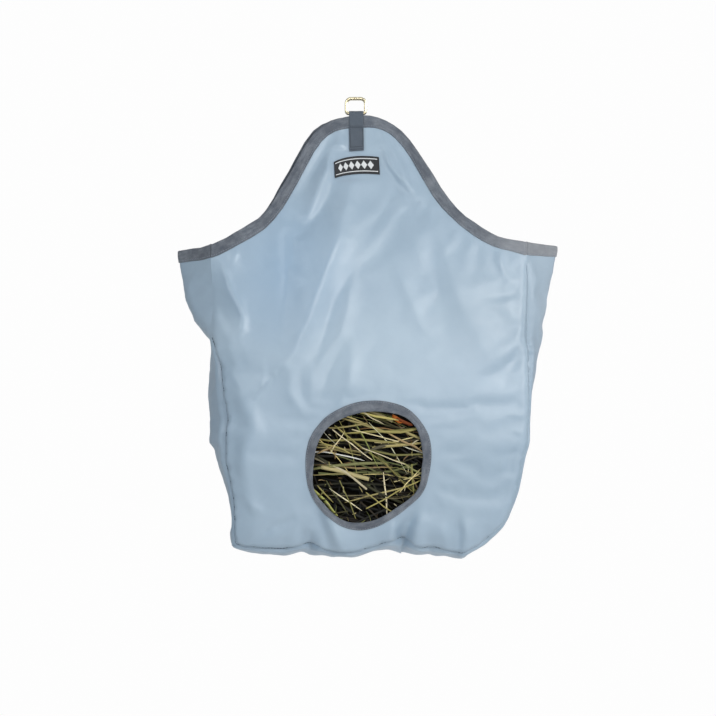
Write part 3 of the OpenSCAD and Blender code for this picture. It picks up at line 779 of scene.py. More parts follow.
# ------------------------------------------------------------------ mesh helpers
def mesh_obj(name, verts, faces, mat, uv=None, smooth=True, stem=None, wrap=None, sharp=None):
    """A mesh object from mm points. uv is per vertex, in metres, wrap the length at which its U starts again
    on a closed loop; stem is a per-vertex colour."""
    me = bpy.data.meshes.new(name)
    v = np.asarray(verts, float) * MM
    f = [tuple(int(i) for i in t) for t in faces]
    me.from_pydata([tuple(p) for p in v], [], f)
    me.validate()
    me.update()
    if uv is not None:
        lay = me.uv_layers.new(name="UVMap")
        idx = np.empty(len(me.loops), np.int32)
        me.loops.foreach_get("vertex_index", idx)
        luv = np.asarray(uv, np.float32)[idx]
        if wrap is not None:
            start = np.empty(len(me.polygons), np.int32)
            total = np.empty(len(me.polygons), np.int32)
            me.polygons.foreach_get("loop_start", start)
            me.polygons.foreach_get("loop_total", total)
            own = np.repeat(np.arange(len(start)), total)
            top = np.maximum.reduceat(luv[:, 0], start)[own]
            luv[:, 0] += np.where(top - luv[:, 0] > wrap / 2, wrap, 0)
        lay.data.foreach_set("uv", luv.ravel())
    if stem is not None:
        a = me.color_attributes.new("stem", "FLOAT_COLOR", "POINT")
        c = np.ones((len(me.vertices), 4), np.float32)
        c[:, :3] = np.asarray(stem, np.float32)
        a.data.foreach_set("color", c.ravel())
    me.materials.append(mat)
    if sharp is not None:
        want = {(min(a, b), max(a, b)) for a, b in sharp}
        ev = np.empty(len(me.edges) * 2, np.int32)
        me.edges.foreach_get("vertices", ev)
        ev = np.sort(ev.reshape(-1, 2), axis=1)
        me.edges.foreach_set("use_edge_sharp", np.array([(int(a), int(b)) in want for a, b in ev], bool))
    if smooth:
        me.polygons.foreach_set("use_smooth", np.ones(len(me.polygons), bool))
    ob = bpy.data.objects.new(name, me)
    bpy.context.collection.objects.link(ob)
    return ob


def vertex_normals(v, tris):
    v, tris = np.asarray(v, float), np.asarray(tris)
    n = np.cross(v[tris[:, 1]] - v[tris[:, 0]], v[tris[:, 2]] - v[tris[:, 0]])
    out = np.zeros_like(v)
    for k in range(3):
        np.add.at(out, tris[:, k], n)
    return out / np.maximum(np.linalg.norm(out, axis=1), 1e-9)[:, None]


def boundary_edges(tris):
    e = np.concatenate([tris[:, [0, 1]], tris[:, [1, 2]], tris[:, [2, 0]]])
    key = np.sort(e, axis=1)
    _, inv, cnt = np.unique(key, axis=0, return_inverse=True, return_counts=True)
    return e[cnt[inv.ravel()] == 1]


def thick(v, tris, t):
    """A closed sheet: the surface, and its copy moved t inward, joined round the rim."""
    v = np.asarray(v, float)
    n = vertex_normals(v, tris)
    o = len(v)
    rim = boundary_edges(tris)
    sides = np.concatenate([np.stack([rim[:, 1], rim[:, 0], rim[:, 0] + o], -1),
                            np.stack([rim[:, 1], rim[:, 0] + o, rim[:, 1] + o], -1)])
    return np.concatenate([v, v - n * t]), np.concatenate([tris, tris[:, ::-1] + o, sides])


def split_tris(par, tris, extra):
    """Midpoint subdivision: par and every array in extra are averaged along edges."""
    e = np.concatenate([tris[:, [0, 1]], tris[:, [1, 2]], tris[:, [2, 0]]])
    key = np.sort(e, axis=1)
    uniq, inv = np.unique(key, axis=0, return_inverse=True)
    inv = inv.ravel()
    n, m = len(par), len(tris)
    mid = inv.reshape(3, m).T + n
    a, b, c = tris.T
    ab, bc, ca = mid.T
    new = np.concatenate([np.stack(t, -1) for t in ((a, ab, ca), (ab, b, bc), (ca, bc, c), (ab, bc, ca))])
    avg = lambda x: np.concatenate([x, (x[uniq[:, 0]] + x[uniq[:, 1]]) / 2])
    return avg(par), new, [avg(x) for x in extra], uniq


def smooth_field(x, tris, keep, times):
    """Neighbour averaging of a per-vertex field, held where keep is true."""
    e = np.unique(np.sort(np.concatenate([tris[:, [0, 1]], tris[:, [1, 2]], tris[:, [2, 0]]]), axis=1), axis=0)
    x = x.copy()
    cnt = np.zeros(len(x))
    np.add.at(cnt, e[:, 0], 1)
    np.add.at(cnt, e[:, 1], 1)
    for _ in range(times):
        s = np.zeros_like(x)
        np.add.at(s, e[:, 0], x[e[:, 1]])
        np.add.at(s, e[:, 1], x[e[:, 0]])
        y = 0.5 * x + 0.5 * s / np.maximum(cnt, 1)[:, None]
        x = np.where(keep[:, None], x, y)
    return x


def inside(poly, pts):
    """Which points lie inside a closed polygon."""
    x, y = pts[:, 0], pts[:, 1]
    c = np.zeros(len(pts), bool)
    j = len(poly) - 1
    for i in range(len(poly)):
        xi, yi = poly[i]
        xj, yj = poly[j]
        if yi != yj:
            c ^= ((yi > y) != (yj > y)) & (x < (xj - xi) * (y - yi) / (yj - yi) + xi)
        j = i
    return c


def near(poly, pts, closed=True):
    """Distance from each point to a polyline."""
    a = np.asarray(poly, float)
    b = np.roll(a, -1, axis=0) if closed else a[1:]
    a = a if closed else a[:-1]
    best = np.full(len(pts), 1e9)
    for p, q in zip(a, b):
        d = q - p
        t = np.clip(((pts - p) @ d) / max(d @ d, 1e-9), 0, 1)
        best = np.minimum(best, np.hypot(*(pts - p - t[:, None] * d).T))
    return best


def hole_outline(extra, step=7.0):
    n = int(2 * math.pi * 80 / step)
    th = np.arange(n) * 360 / n
    r = hole_r(th, HOLE_IN) + extra
    return np.stack([HOLE_C[0] + r * np.cos(np.radians(th)), HOLE_C[1] + r * np.sin(np.radians(th))], -1)


def neck_line(back, step):
    x = np.linspace(-203, 239, 600)
    z = I(x, NECK) + (I(x, LIFT) if back else 0)
    return resample(np.stack([x, z], -1), step)


def panel_mesh(path, side, step):
    """Triangles of a panel in (X, Z), with the seam index of each rim point (nan elsewhere)."""
    top = neck_line(side > 0, step)[1:-1]
    rim = np.concatenate([path, top[::-1]])
    m = len(rim)
    edges = [(i, (i + 1) % m) for i in range(m)]
    pts = [rim]
    hole = None
    if side < 0:
        hole = hole_outline(4.0)
        edges += [(m + i, m + (i + 1) % len(hole)) for i in range(len(hole))]
        pts.append(hole)
    r = random.Random(11)
    h = step * math.sqrt(3) / 2
    grid = []
    for j, z in enumerate(np.arange(-640, -20, h)):
        for x in np.arange(-210, 250, step):
            grid.append((x + (step / 2 if j % 2 else 0) + r.uniform(-.12, .12) * step, z + r.uniform(-.12, .12) * step))
    grid = np.array(grid)
    ok = inside(rim, grid) & (near(rim, grid) > step * 0.6)
    if hole is not None:
        ok &= ~inside(hole, grid) & (near(hole, grid) > step * 0.6)
    pts.append(grid[ok])
    pts = np.concatenate(pts)
    vs, _, fs, ov, _, _ = delaunay_2d_cdt([Vector(p) for p in pts], edges, [], 0, 1e-5)
    vs = np.array([tuple(p) for p in vs])
    tri = np.array([f for f in fs if len(f) == 3])
    c = vs[tri].mean(axis=1)
    keep = inside(rim, c)
    if hole is not None:
        keep &= ~inside(hole, c)
    tri = tri[keep]
    a = vs[tri]
    area2 = (a[:, 1, 0] - a[:, 0, 0]) * (a[:, 2, 1] - a[:, 0, 1]) - (a[:, 2, 0] - a[:, 0, 0]) * (a[:, 1, 1] - a[:, 0, 1])
    tri = tri[np.abs(area2) > 1e-3]
    area2 = area2[np.abs(area2) > 1e-3]
    tri = np.where((area2 > 0)[:, None], tri, tri[:, ::-1])
    if side > 0:
        tri = tri[:, ::-1]
    seam = np.full(len(vs), np.nan)
    for k, orig in enumerate(ov):
        for o in orig:
            if o < len(path):
                seam[k] = o
    used = np.unique(tri)
    back = np.full(len(vs), -1)
    back[used] = np.arange(len(used))
    return vs[used], back[tri], seam[used]


# ------------------------------------------------------------------ the cloth, one sewn surface
STEP = 8.0
SEAM_FINE = seam_path(STEP / 2)
if len(SEAM_FINE) % 2 == 0:
    SEAM_FINE = resample(SEAM_FINE, float(np.hypot(*np.diff(SEAM_FINE, axis=0).T).sum()) / len(SEAM_FINE))
SEAM_LEN = float(np.hypot(*np.diff(SEAM_FINE, axis=0).T).sum())
SEAM_STEP = SEAM_LEN / (len(SEAM_FINE) - 1)
SEAM_Y = (panel_y(SEAM_FINE[:, 0], SEAM_FINE[:, 1], -1), panel_y(SEAM_FINE[:, 0], SEAM_FINE[:, 1], 1))
STRIP = strip_param(SEAM_FINE)
COARSE = SEAM_FINE[::2]
NS = 20  # cells across the strip


def strip_s(k, n):
    """Even spacing across the strip, a little denser at the middle fold."""
    t = -1 + 2 * np.asarray(k, float) / n
    return 0.85 * t + 0.15 * t ** 3


def strip_mesh():
    """Grid of the strip: fractional seam index and s, with the fold crease along s = 0."""
    n = len(COARSE)
    ii, kk = np.meshgrid(np.arange(n) * 2.0, np.arange(NS + 1), indexing="ij")
    par = np.stack([ii.ravel(), strip_s(kk.ravel(), NS)], -1)
    w = NS + 1
    tri = []
    for i in range(n - 1):
        for k in range(NS):
            a, b, c, d = i * w + k, (i + 1) * w + k, (i + 1) * w + k + 1, i * w + k + 1
            if (i + k) % 2:
                tri += [(a, c, b), (a, d, c)]
            else:
                tri += [(a, d, b), (d, c, b)]
    return par, np.array(tri)


def eval_panel(par, side, seam):
    X, Z = par[:, 0], par[:, 1]
    y = panel_y(X, Z, side)
    # a rolled edge stands over the drawn-in seam
    d = np.empty(len(par))
    k = np.empty(len(par), int)
    for a in range(0, len(par), 2000):
        D = np.hypot(par[a:a + 2000, None, 0] - SEAM_FINE[None, :, 0], par[a:a + 2000, None, 1] - SEAM_FINE[None, :, 1])
        k[a:a + 2000] = D.argmin(axis=1)
        d[a:a + 2000] = D.min(axis=1)
    out, _, _, base = STRIP
    tk = tuck_at(SEAM_FINE[k, 0], SEAM_FINE[k, 1], base[k])
    push = tk * (-0.95 * np.exp(-(d / 2.4) ** 2) + 0.5 * np.exp(-((d - 6) / 4.5) ** 2))
    y = y - 0.9 * tk * np.exp(-(d / 2.4) ** 2)
    p = unwarp(np.stack([X + out[k, 0] * push, y * side, Z + out[k, 1] * push], -1))
    m = ~np.isnan(seam)
    if m.any():
        p[m] = strip_spot(np.stack([seam[m], np.full(m.sum(), float(side))], -1))
    return p


def run_cloth(fv, ft, bv, bt, sv, st, fpar, bpar, spar, fseam, bseam):
    """Sews the three surfaces, lets the cloth settle a little, and returns how far each point moved."""
    nf, nb = len(fv), len(bv)
    allv = np.concatenate([fv, bv, sv])
    remap = np.arange(len(allv))
    front_at = {int(round(x)): k for k, x in enumerate(fseam) if not np.isnan(x)}
    back_at = {int(round(x)): k for k, x in enumerate(bseam) if not np.isnan(x)}
    for k, (i, s) in enumerate(spar):
        if s < -0.999:
            remap[nf + nb + k] = front_at[int(round(i))]
        elif s > 0.999:
            remap[nf + nb + k] = nf + back_at[int(round(i))]
    tris = remap[np.concatenate([ft, bt + nf, st + nf + nb])]
    used = np.unique(tris)
    idx = np.full(len(allv), -1)
    idx[used] = np.arange(len(used))
    pos = allv[used]
    tris = idx[tris]
    # how firmly each point keeps its place: seams, tape, tab and label fully, open cloth loosely
    hold = np.full(len(allv), 0.0)
    for par, o, side in ((fpar, 0, -1), (bpar, nf, 1)):
        X, Z = par[:, 0], par[:, 1]
        top = I(X, NECK) + (I(X, LIFT) if side > 0 else 0)
        d = near(neck_line(side > 0, 10), par, False)
        h = 1 - sstep(d, 15, 34)
        h = np.maximum(h, 1 - sstep(near(SEAM_FINE[::3], par, False), 2, 9))
        h = np.maximum(h, (1 - sstep(np.abs(X - 2), 30, 60)) * (1 - sstep(-Z, 100, 170)))
        if side < 0:
            r = np.hypot(X - HOLE_C[0], Z - HOLE_C[1])
            h = np.maximum(h, 1 - sstep(r, 92, 112))
        hold[o:o + len(par)] = h
    s_hold = np.maximum(1 - sstep(1 - np.abs(spar[:, 1]), 0.01, 0.12), 0)
    zz = np.interp(spar[:, 0], np.arange(len(SEAM_FINE)), SEAM_FINE[:, 1])
    s_hold = np.maximum(s_hold, 1 - sstep(-zz, 226, 250))
    hold[nf + nb:] = s_hold
    w = 0.06 + 0.94 * hold[used]
    me = bpy.data.meshes.new("cloth")
    me.from_pydata([tuple(p) for p in pos * MM], [], [tuple(map(int, t)) for t in tris])
    me.update()
    ob = bpy.data.objects.new("cloth", me)
    bpy.context.collection.objects.link(ob)
    g = ob.vertex_groups.new(name="hold")
    q = np.round(w, 2)
    for val in np.unique(q):
        g.add([int(i) for i in np.flatnonzero(q == val)], float(val), "REPLACE")
    md = ob.modifiers.new("cloth", "CLOTH")
    cs = md.settings
    cs.quality = 6
    cs.mass = 0.15
    cs.tension_stiffness = 22
    cs.compression_stiffness = 22
    cs.shear_stiffness = 10
    cs.bending_stiffness = 0.9
    cs.tension_damping = cs.compression_damping = 12
    cs.air_damping = 2.0
    cs.vertex_group_mass = "hold"
    cs.pin_stiffness = 1.2
    cs.shrink_min = -0.007
    cs.use_pressure = True
    cs.uniform_pressure_force = 0.25
    cs.effector_weights.gravity = 0.08
    sc = bpy.context.scene
    n = 26
    sc.frame_start, sc.frame_end = 1, n
    md.point_cache.frame_start, md.point_cache.frame_end = 1, n
    for f in range(1, n + 1):
        sc.frame_set(f)
    dg = bpy.context.evaluated_depsgraph_get()
    ev = ob.evaluated_get(dg)
    em = ev.to_mesh()
    out = np.empty(len(em.vertices) * 3, np.float32)
    em.vertices.foreach_get("co", out)
    out = out.reshape(-1, 3).astype(float) / MM
    ev.to_mesh_clear()
    bpy.data.objects.remove(ob)
    bpy.data.meshes.remove(me)
    sc.frame_set(1)
    move = out - pos
    ln = np.linalg.norm(move, axis=1)
    cap = 1.8
    move *= (cap * np.tanh(ln / cap) / np.maximum(ln, 1e-6))[:, None]
    move *= (1 - np.clip(hold[used], 0, 1))[:, None] ** 0.5
    full = move[idx[remap]]
    print("cloth: moved mean %.2f max %.2f mm" % (np.abs(ln).mean(), ln.max()))
    return full[:nf], full[nf:nf + nb], full[nf + nb:]


def cloth_pieces():
    fpar, ft, fseam = panel_mesh(COARSE, -1, STEP)
    bpar, bt, bseam = panel_mesh(COARSE, 1, STEP)
    fseam, bseam = fseam * 2, bseam * 2
    spar, st = strip_mesh()
    fv, bv = eval_panel(fpar, -1, fseam), eval_panel(bpar, 1, bseam)
    sv = strip_spot(spar)
    fd, bd, sd = run_cloth(fv, ft, bv, bt, sv, st, fpar, bpar, spar, fseam, bseam)
    out = {}
    for name, par, tri, seam, d, side in (("front_panel_cloth", fpar, ft, fseam, fd, -1),
                                          ("back_panel_cloth", bpar, bt, bseam, bd, 1)):
        par2, tri2, (d2, seam2), uniq = split_tris(par, tri, [d, seam])
        # a midpoint is on the seam only if its two ends are neighbours there
        n = len(par)
        ends = seam[uniq]
        on = np.abs(ends[:, 0] - ends[:, 1]) < 2.5
        seam2[n:] = np.where(on, ends.mean(axis=1), np.nan)
        d2 = smooth_field(d2, tri2, ~np.isnan(seam2), 2)
        v = eval_panel(par2, side, seam2) + d2
        out[name] = (v, tri2, par2)
    par2, tri2, (d2,), _ = split_tris(spar, st, [sd])
    d2 = smooth_field(d2, tri2, np.abs(par2[:, 1]) > 0.999, 2)
    v = strip_spot(par2) + d2
    out["gusset_cloth"] = (v, tri2, par2)
    return out


def strip_spot(par):
    """The strip with its ends cut to the mouth edge: near the top, rows slide so the rim follows the neck line."""
    i = par[:, 0].copy()
    s = par[:, 1]
    n = len(SEAM_FINE) - 1
    p = strip_point(SEAM_FINE, i, s)
    # height of the rim at this s, from the neck outline at the strip's x
    for end, side in ((0, -1), (n, 1)):
        rows = 14.0
        q = 1 - np.clip(np.abs(i - end) / rows, 0, 1)
        m = q > 0
        if not m.any():
            continue
        x0 = strip_point(SEAM_FINE, np.full(m.sum(), float(end)), s[m], False)[:, 0]
        want = I(x0, NECK)
        have = SEAM_FINE[end, 1]
        p[m, 2] += (want - have) * q[m] ** 1.0
    return p


# ------------------------------------------------------------------ tape, webbing and thread
def grid_normals(G, closed, out):
    """Unit normals of a grid of points; out gives the rough outward direction."""
    if closed:
        dt = np.roll(G, -1, axis=0) - np.roll(G, 1, axis=0)
    else:
        dt = np.gradient(G, axis=0)
    dw = np.gradient(G, axis=1)
    n = np.cross(dt, dw)
    n /= np.maximum(np.linalg.norm(n, axis=-1), 1e-9)[..., None]
    flip = np.sign((n * out).sum(-1))
    return n * np.where(flip == 0, 1, flip)[..., None]


def at_width(G, w):
    """The grid's points at fraction w across it."""
    m = G.shape[1] - 1
    k = min(int(w * m), m - 1)
    t = w * m - k
    return G[:, k] * (1 - t) + G[:, k + 1] * t


def fold_profile(h, cut=0.9):
    """Half of a folded tape's section, from the stitched edge round to the folded edge: (w, off, beyond)."""
    return [(1.0, 0.2, 0), (1.0, h * cut * 0.8, 0), (0.975, h * cut, 0), (0.93, h * 0.96, 0), (0.86, h * 0.86, 0),
            (0.78, h * 0.90, 0), (0.62, h * 1.03, 0), (0.40, h * 1.06, 0), (0.20, h * 1.05, 0), (0.06, h * 1.0, 0),
            (0.0, h * 0.86, 0.25), (0.0, h * 0.55, 0.68), (0.0, h * 0.2, 0.9)]


def band(name, G, N, mat, h=1.6, closed=False, prof=None, ripple=0.25, seed=5.0):
    """A tape folded over the edge of the cloth (at w = 0) and stitched at w = 1."""
    half = prof or fold_profile(h)
    full = half + [(w, -o, e) for w, o, e in half[::-1]]
    E = G[:, 0] - G[:, 1]
    E /= np.maximum(np.linalg.norm(E, axis=1), 1e-9)[:, None]
    n, m = len(G), len(full)
    mid = at_width(G, 0.5)
    d = np.linalg.norm(np.diff(mid, axis=0), axis=1)
    u = np.concatenate([[0], np.cumsum(d)])
    total = u[-1] + (np.linalg.norm(mid[0] - mid[-1]) if closed else 0)
    width = float(np.linalg.norm(G[:, 0] - G[:, -1], axis=1).mean())
    V = np.empty((n, m, 3))
    UV = np.empty((n, m, 2))
    ring = lambda a, s: noise.noise(Vector((math.cos(a) * s, math.sin(a) * s, seed))) if closed else \
        noise.noise(Vector((a * s, 0, seed)))
    rip = np.array([ring(2 * math.pi * x / total if closed else x / 9.0, 14.0 if closed else 1.0) for x in u])
    rip2 = np.array([ring(2 * math.pi * x / total if closed else x / 23.0, 5.0 if closed else 1.0) for x in u])
    across = 0.0
    for k, (w, o, e) in enumerate(full):
        P0 = at_width(G, w)
        Nn = at_width(N, w)
        Nn = Nn / np.linalg.norm(Nn, axis=1)[:, None]
        amp = ripple * (rip * (0.35 + 0.65 * w) + 0.8 * rip2)
        V[:, k] = P0 + Nn * (o + amp)[:, None] + E * e * h
        if k:
            across += float(np.linalg.norm(V[:, k] - V[:, k - 1], axis=1).mean())
        UV[:, k, 0] = u
        UV[:, k, 1] = across
    F = []
    idx = np.arange(n * m).reshape(n, m)
    last = n if closed else n - 1
    for i in range(last):
        j = (i + 1) % n
        for k in range(m):
            l = (k + 1) % m
            F.append((idx[i, k], idx[j, k], idx[j, l], idx[i, l]))
    if not closed:
        for i, rev in ((0, False), (n - 1, True)):
            for k in range(len(half) - 1):
                q = (idx[i, k], idx[i, k + 1], idx[i, m - 2 - k], idx[i, m - 1 - k])
                F.append(q if not rev else q[::-1])
    F = orient(V.reshape(-1, 3), F)
    return mesh_obj(name, V.reshape(-1, 3), F, mat, UV.reshape(-1, 2) * MM, wrap=total * MM if closed else None)


def orient(V, F):
    """Faces of a closed form, turned so that its volume is positive."""
    vol = 0.0
    for f in F:
        a = V[f[0]]
        for k in range(1, len(f) - 1):
            vol += float(np.dot(a, np.cross(V[f[k]], V[f[k + 1]])))
    return F if vol > 0 else [f[::-1] for f in F]


def capsules(segs, r, sides=7):
    """Short round threads: segs is a list of (start, end, lift direction); returns verts and faces."""
    V, F = [], []
    prof = [(0.0, 0.35), (0.12, 0.85), (0.3, 1.0), (0.7, 1.0), (0.88, 0.85), (1.0, 0.35)]
    for a, b, up in segs:
        a, b, up = np.asarray(a, float), np.asarray(b, float), np.asarray(up, float)
        ax = b - a
        L = np.linalg.norm(ax)
        if L < 1e-6:
            continue
        ax = ax / L
        up = up - ax * (up @ ax)
        up /= max(np.linalg.norm(up), 1e-9)
        sd = np.cross(ax, up)
        base = len(V)
        for t, k in prof:
            bow = 4 * t * (1 - t) * r * 0.7 - r * 0.75
            c = a + ax * L * t + up * bow
            for q in range(sides):
                an = 2 * math.pi * q / sides
                V.append(c + (up * math.cos(an) * 0.9 + sd * math.sin(an)) * r * k)
        m = len(prof)
        for j in range(m - 1):
            for q in range(sides):
                q2 = (q + 1) % sides
                F.append((base + j * sides + q, base + j * sides + q2, base + (j + 1) * sides + q2,
                          base + (j + 1) * sides + q))
        F.append(tuple(base + q for q in range(sides - 1, -1, -1)))
        F.append(tuple(base + (m - 1) * sides + q for q in range(sides)))
    return V, F


def stitch_line(path, ups, pitch=3.6, length=2.6, closed=False):
    """Stitches along a 3-D polyline: every pitch mm a thread of that length."""
    path = np.asarray(path, float)
    if closed:
        path = np.concatenate([path, path[:1]])
        ups = np.concatenate([ups, ups[:1]])
    d = np.linalg.norm(np.diff(path, axis=0), axis=1)
    s = np.concatenate([[0], np.cumsum(d)])
    n = max(1, int(round(s[-1] / pitch)))
    step = s[-1] / n
    at = lambda q, A: np.array([np.interp(q, s, A[:, k]) for k in range(3)])
    out = []
    for i in range(n):
        a, b = i * step + (step - length) / 2, i * step + (step + length) / 2
        out.append((at(a, path), at(b, path), at((a + b) / 2, np.asarray(ups, float))))
    return out


def threads(name, segs, mat, r=0.36):
    V, F = capsules(segs, r)
    return mesh_obj(name, V, F, mat)


def neck_grid(side, step=2.2, nw=8):
    """Points across the mouth tape of one panel, from its edge in, and where each station lies (X)."""
    x = np.linspace(-203, 239, 900)
    line = resample(np.stack([x, I(x, NECK)], -1), step)
    t = np.gradient(line, axis=0)
    k = np.array([1, 4, 6, 4, 1]) / 16
    for _ in range(10):
        t = np.stack([np.convolve(np.pad(t[:, i], 2, mode="edge"), k, "valid") for i in (0, 1)], -1)
    t /= np.hypot(*t.T)[:, None]
    nrm = np.stack([t[:, 1], -t[:, 0]], -1)
    nrm *= np.where(nrm[:, 1] > 0, -1, 1)[:, None]
    inner = resample(np.array(INNER, float), 2.0)
    d = np.array([np.hypot(*(inner - p).T).min() for p in line])
    for _ in range(14):
        d = np.convolve(np.pad(d, 2, mode="edge"), k, "valid")
    # at the side seams the tape runs square to the seam, to meet the side pieces' tape
    s = np.concatenate([[0], np.cumsum(np.hypot(*np.diff(line, axis=0).T))])
    for end, e in ((0, s), (-1, s[-1] - s)):
        q = 1 - sstep(e, 0, 22)
        down = (SEAM_FINE[3] - SEAM_FINE[0]) if end == 0 else (SEAM_FINE[-4] - SEAM_FINE[-1])
        down = down / np.hypot(*down)
        nrm = nrm * (1 - q)[:, None] + down * q[:, None]
        d = d * (1 - q) + 17.5 * q
    nrm /= np.hypot(*nrm.T)[:, None]
    w = np.linspace(0, 1, nw)
    P2 = line[:, None, :] + nrm[:, None, :] * (d[:, None, None] * w[None, :, None])
    X, Z = P2[..., 0].ravel(), P2[..., 1].ravel()
    Z = Z + (I(line[:, 0], LIFT).repeat(nw) if side > 0 else 0)
    G = panel_point(X, Z, side).reshape(len(line), nw, 3)
    for row, i in ((0, 0.0), (-1, float(len(SEAM_FINE) - 1))):
        ii = np.clip(i + (1 if row == 0 else -1) * w * 17.5 / SEAM_STEP, 0, len(SEAM_FINE) - 1)
        G[row] = strip_spot(np.stack([ii, np.full(nw, float(side))], -1))
    return G, line


def wing_grid(end, n=56, nw=8):
    """Points across the tape on the mouth edge of one side piece."""
    s = np.linspace(-1, 1, n)
    w = np.linspace(0, 1, nw)
    last = len(SEAM_FINE) - 1
    i = w * 17.5 / SEAM_STEP
    i = i if end == 0 else last - i
    S, W = np.meshgrid(s, i, indexing="ij")
    return strip_spot(np.stack([W.ravel(), S.ravel()], -1)).reshape(n, nw, 3)


def hole_grid(n=220, nw=8):
    th = np.arange(n) * 360.0 / n
    a, b = hole_r(th, HOLE_IN), hole_r(th, HOLE_OUT)
    w = np.linspace(0, 1, nw)
    r = a[:, None] * (1 - w) + b[:, None] * w
    c, s = np.cos(np.radians(th))[:, None], np.sin(np.radians(th))[:, None]
    X, Z = HOLE_C[0] + r * c, HOLE_C[1] + r * s
    return panel_point(X.ravel(), Z.ravel(), -1).reshape(n, nw, 3)


def bindings(tape_m, thread_m):
    front = np.array([0.0, -1.0, 0.0])
    # the feed hole
    G = hole_grid()
    N = grid_normals(G, True, front)
    ob = band("feed_hole_tape", G, N, tape_m, h=1.7, closed=True, ripple=0.3, seed=2.0)
    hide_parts("feed_hole_binding")
    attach(ob, "bag")
    segs = stitch_line(at_width(G, 0.86) + at_width(N, 0.86) * 1.75, at_width(N, 0.86), closed=True)
    segs += stitch_line(at_width(G, 0.86) - at_width(N, 0.86) * 1.75, -at_width(N, 0.86), closed=True)
    ob = threads("feed_hole_stitches", segs, thread_m)
    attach(ob, "bag")
    # the mouth, front and back
    for side, word in ((-1, "front"), (1, "back")):
        G, line = neck_grid(side)
        if side > 0:
            # room for the ring as it swings down over the edge
            G[..., 2] -= 0.8 * np.exp(-(G[..., 0] / 19.0) ** 4)
        N = grid_normals(G, False, np.array([0.0, float(side), 0.0]))
        ob = band(word + "_mouth_tape", G, N, tape_m, h=1.6, ripple=0.25, seed=5.0 + side)
        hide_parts(word + "_neck_binding")
        fold_blend(ob)
        Q, K = at_width(G, 0.86), at_width(N, 0.86)
        ob = threads(word + "_mouth_stitches", stitch_line(Q + K * 1.62, K) + stitch_line(Q - K * 1.62, -K), thread_m)
        fold_blend(ob)
    # the side pieces
    last = float(len(SEAM_FINE) - 1)
    for end, word, sx in ((0, "left", -1.0), (1, "right", 1.0)):
        G = wing_grid(end)
        N = grid_normals(G, False, np.array([sx, 0.0, 0.0]))
        # towards the ends the outward side turns to face front and back
        out_dir = np.stack([np.full(len(G), sx), np.linspace(-1, 1, len(G)) * 0.9, np.zeros(len(G))], -1)[:, None, :]
        N = grid_normals(G, False, out_dir)
        ob = band(word + "_mouth_tape", G, N, tape_m, h=1.6, ripple=0.2, seed=11.0 + end)
        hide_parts(word + "_mouth_binding")
        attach(ob, "bag")
        Q, K = at_width(G, 0.86), at_width(N, 0.86)
        ob = threads(word + "_mouth_stitches", stitch_line(Q + K * 1.62, K) + stitch_line(Q - K * 1.62, -K), thread_m)
        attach(ob, "bag")


def fold_blend(ob):
    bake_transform(ob)


def slab(name, G, N, t, mat, uvscale=1.0):
    """A flat woven piece on a grid: bottom at the grid, top t along the normals, with eased edges."""
    n, m = G.shape[:2]
    C = G.reshape(-1, 3).mean(axis=0)
    ring_i = []
    V, UV = [], []
    du = np.concatenate([[0], np.cumsum(np.linalg.norm(np.diff(G[:, m // 2], axis=0), axis=1))])
    dv = np.concatenate([[0], np.cumsum(np.linalg.norm(np.diff(G[n // 2], axis=0), axis=1))])
    ea = 0.3 * t
    top = G + N * t
    ina = G + N * (t - ea)
    lay = []
    # pull the top's rim in a little so the edge is eased
    T = top.copy()
    T[0] = top[0] + (top[1] - top[0]) * min(0.9, ea / max(np.linalg.norm(top[1, 0] - top[0, 0]), 1e-6))
    T[-1] = top[-1] + (top[-2] - top[-1]) * min(0.9, ea / max(np.linalg.norm(top[-2, 0] - top[-1, 0]), 1e-6))
    T[:, 0] = T[:, 0] + (top[:, 1] - top[:, 0]) * min(0.9, ea / max(np.linalg.norm(top[0, 1] - top[0, 0]), 1e-6))
    T[:, -1] = T[:, -1] + (top[:, -2] - top[:, -1]) * min(0.9, ea / max(np.linalg.norm(top[0, -2] - top[0, -1]), 1e-6))
    idx = np.arange(n * m).reshape(n, m)
    o = n * m
    V = np.concatenate([T.reshape(-1, 3), ina.reshape(-1, 3), G.reshape(-1, 3)])
    uv = np.stack(np.meshgrid(du, dv, indexing="ij"), -1).reshape(-1, 2)
    UV = np.concatenate([uv, uv, uv]) * MM * uvscale
    F = []
    for i in range(n - 1):
        for j in range(m - 1):
            a, b, c, d = idx[i, j], idx[i + 1, j], idx[i + 1, j + 1], idx[i, j + 1]
            F.append((a, b, c, d))
            F.append((2 * o + d, 2 * o + c, 2 * o + b, 2 * o + a))
    rim = [(idx[i, 0], idx[i + 1, 0]) for i in range(n - 1)] + [(idx[-1, j], idx[-1, j + 1]) for j in range(m - 1)] + \
          [(idx[i + 1, -1], idx[i, -1]) for i in range(n - 2, -1, -1)] + [(idx[0, j + 1], idx[0, j]) for j in range(m - 2, -1, -1)]
    for a, b in rim:
        F.append((a, a + o, b + o, b))
        F.append((a + o, a + 2 * o, b + 2 * o, b + o))
    used = sorted({i for f in F for i in f})
    mp = {i: k for k, i in enumerate(used)}
    F = [tuple(mp[i] for i in f) for f in F]
    V, UV = V[used], UV[used]
    return mesh_obj(name, V, orient(V, F), mat, UV)


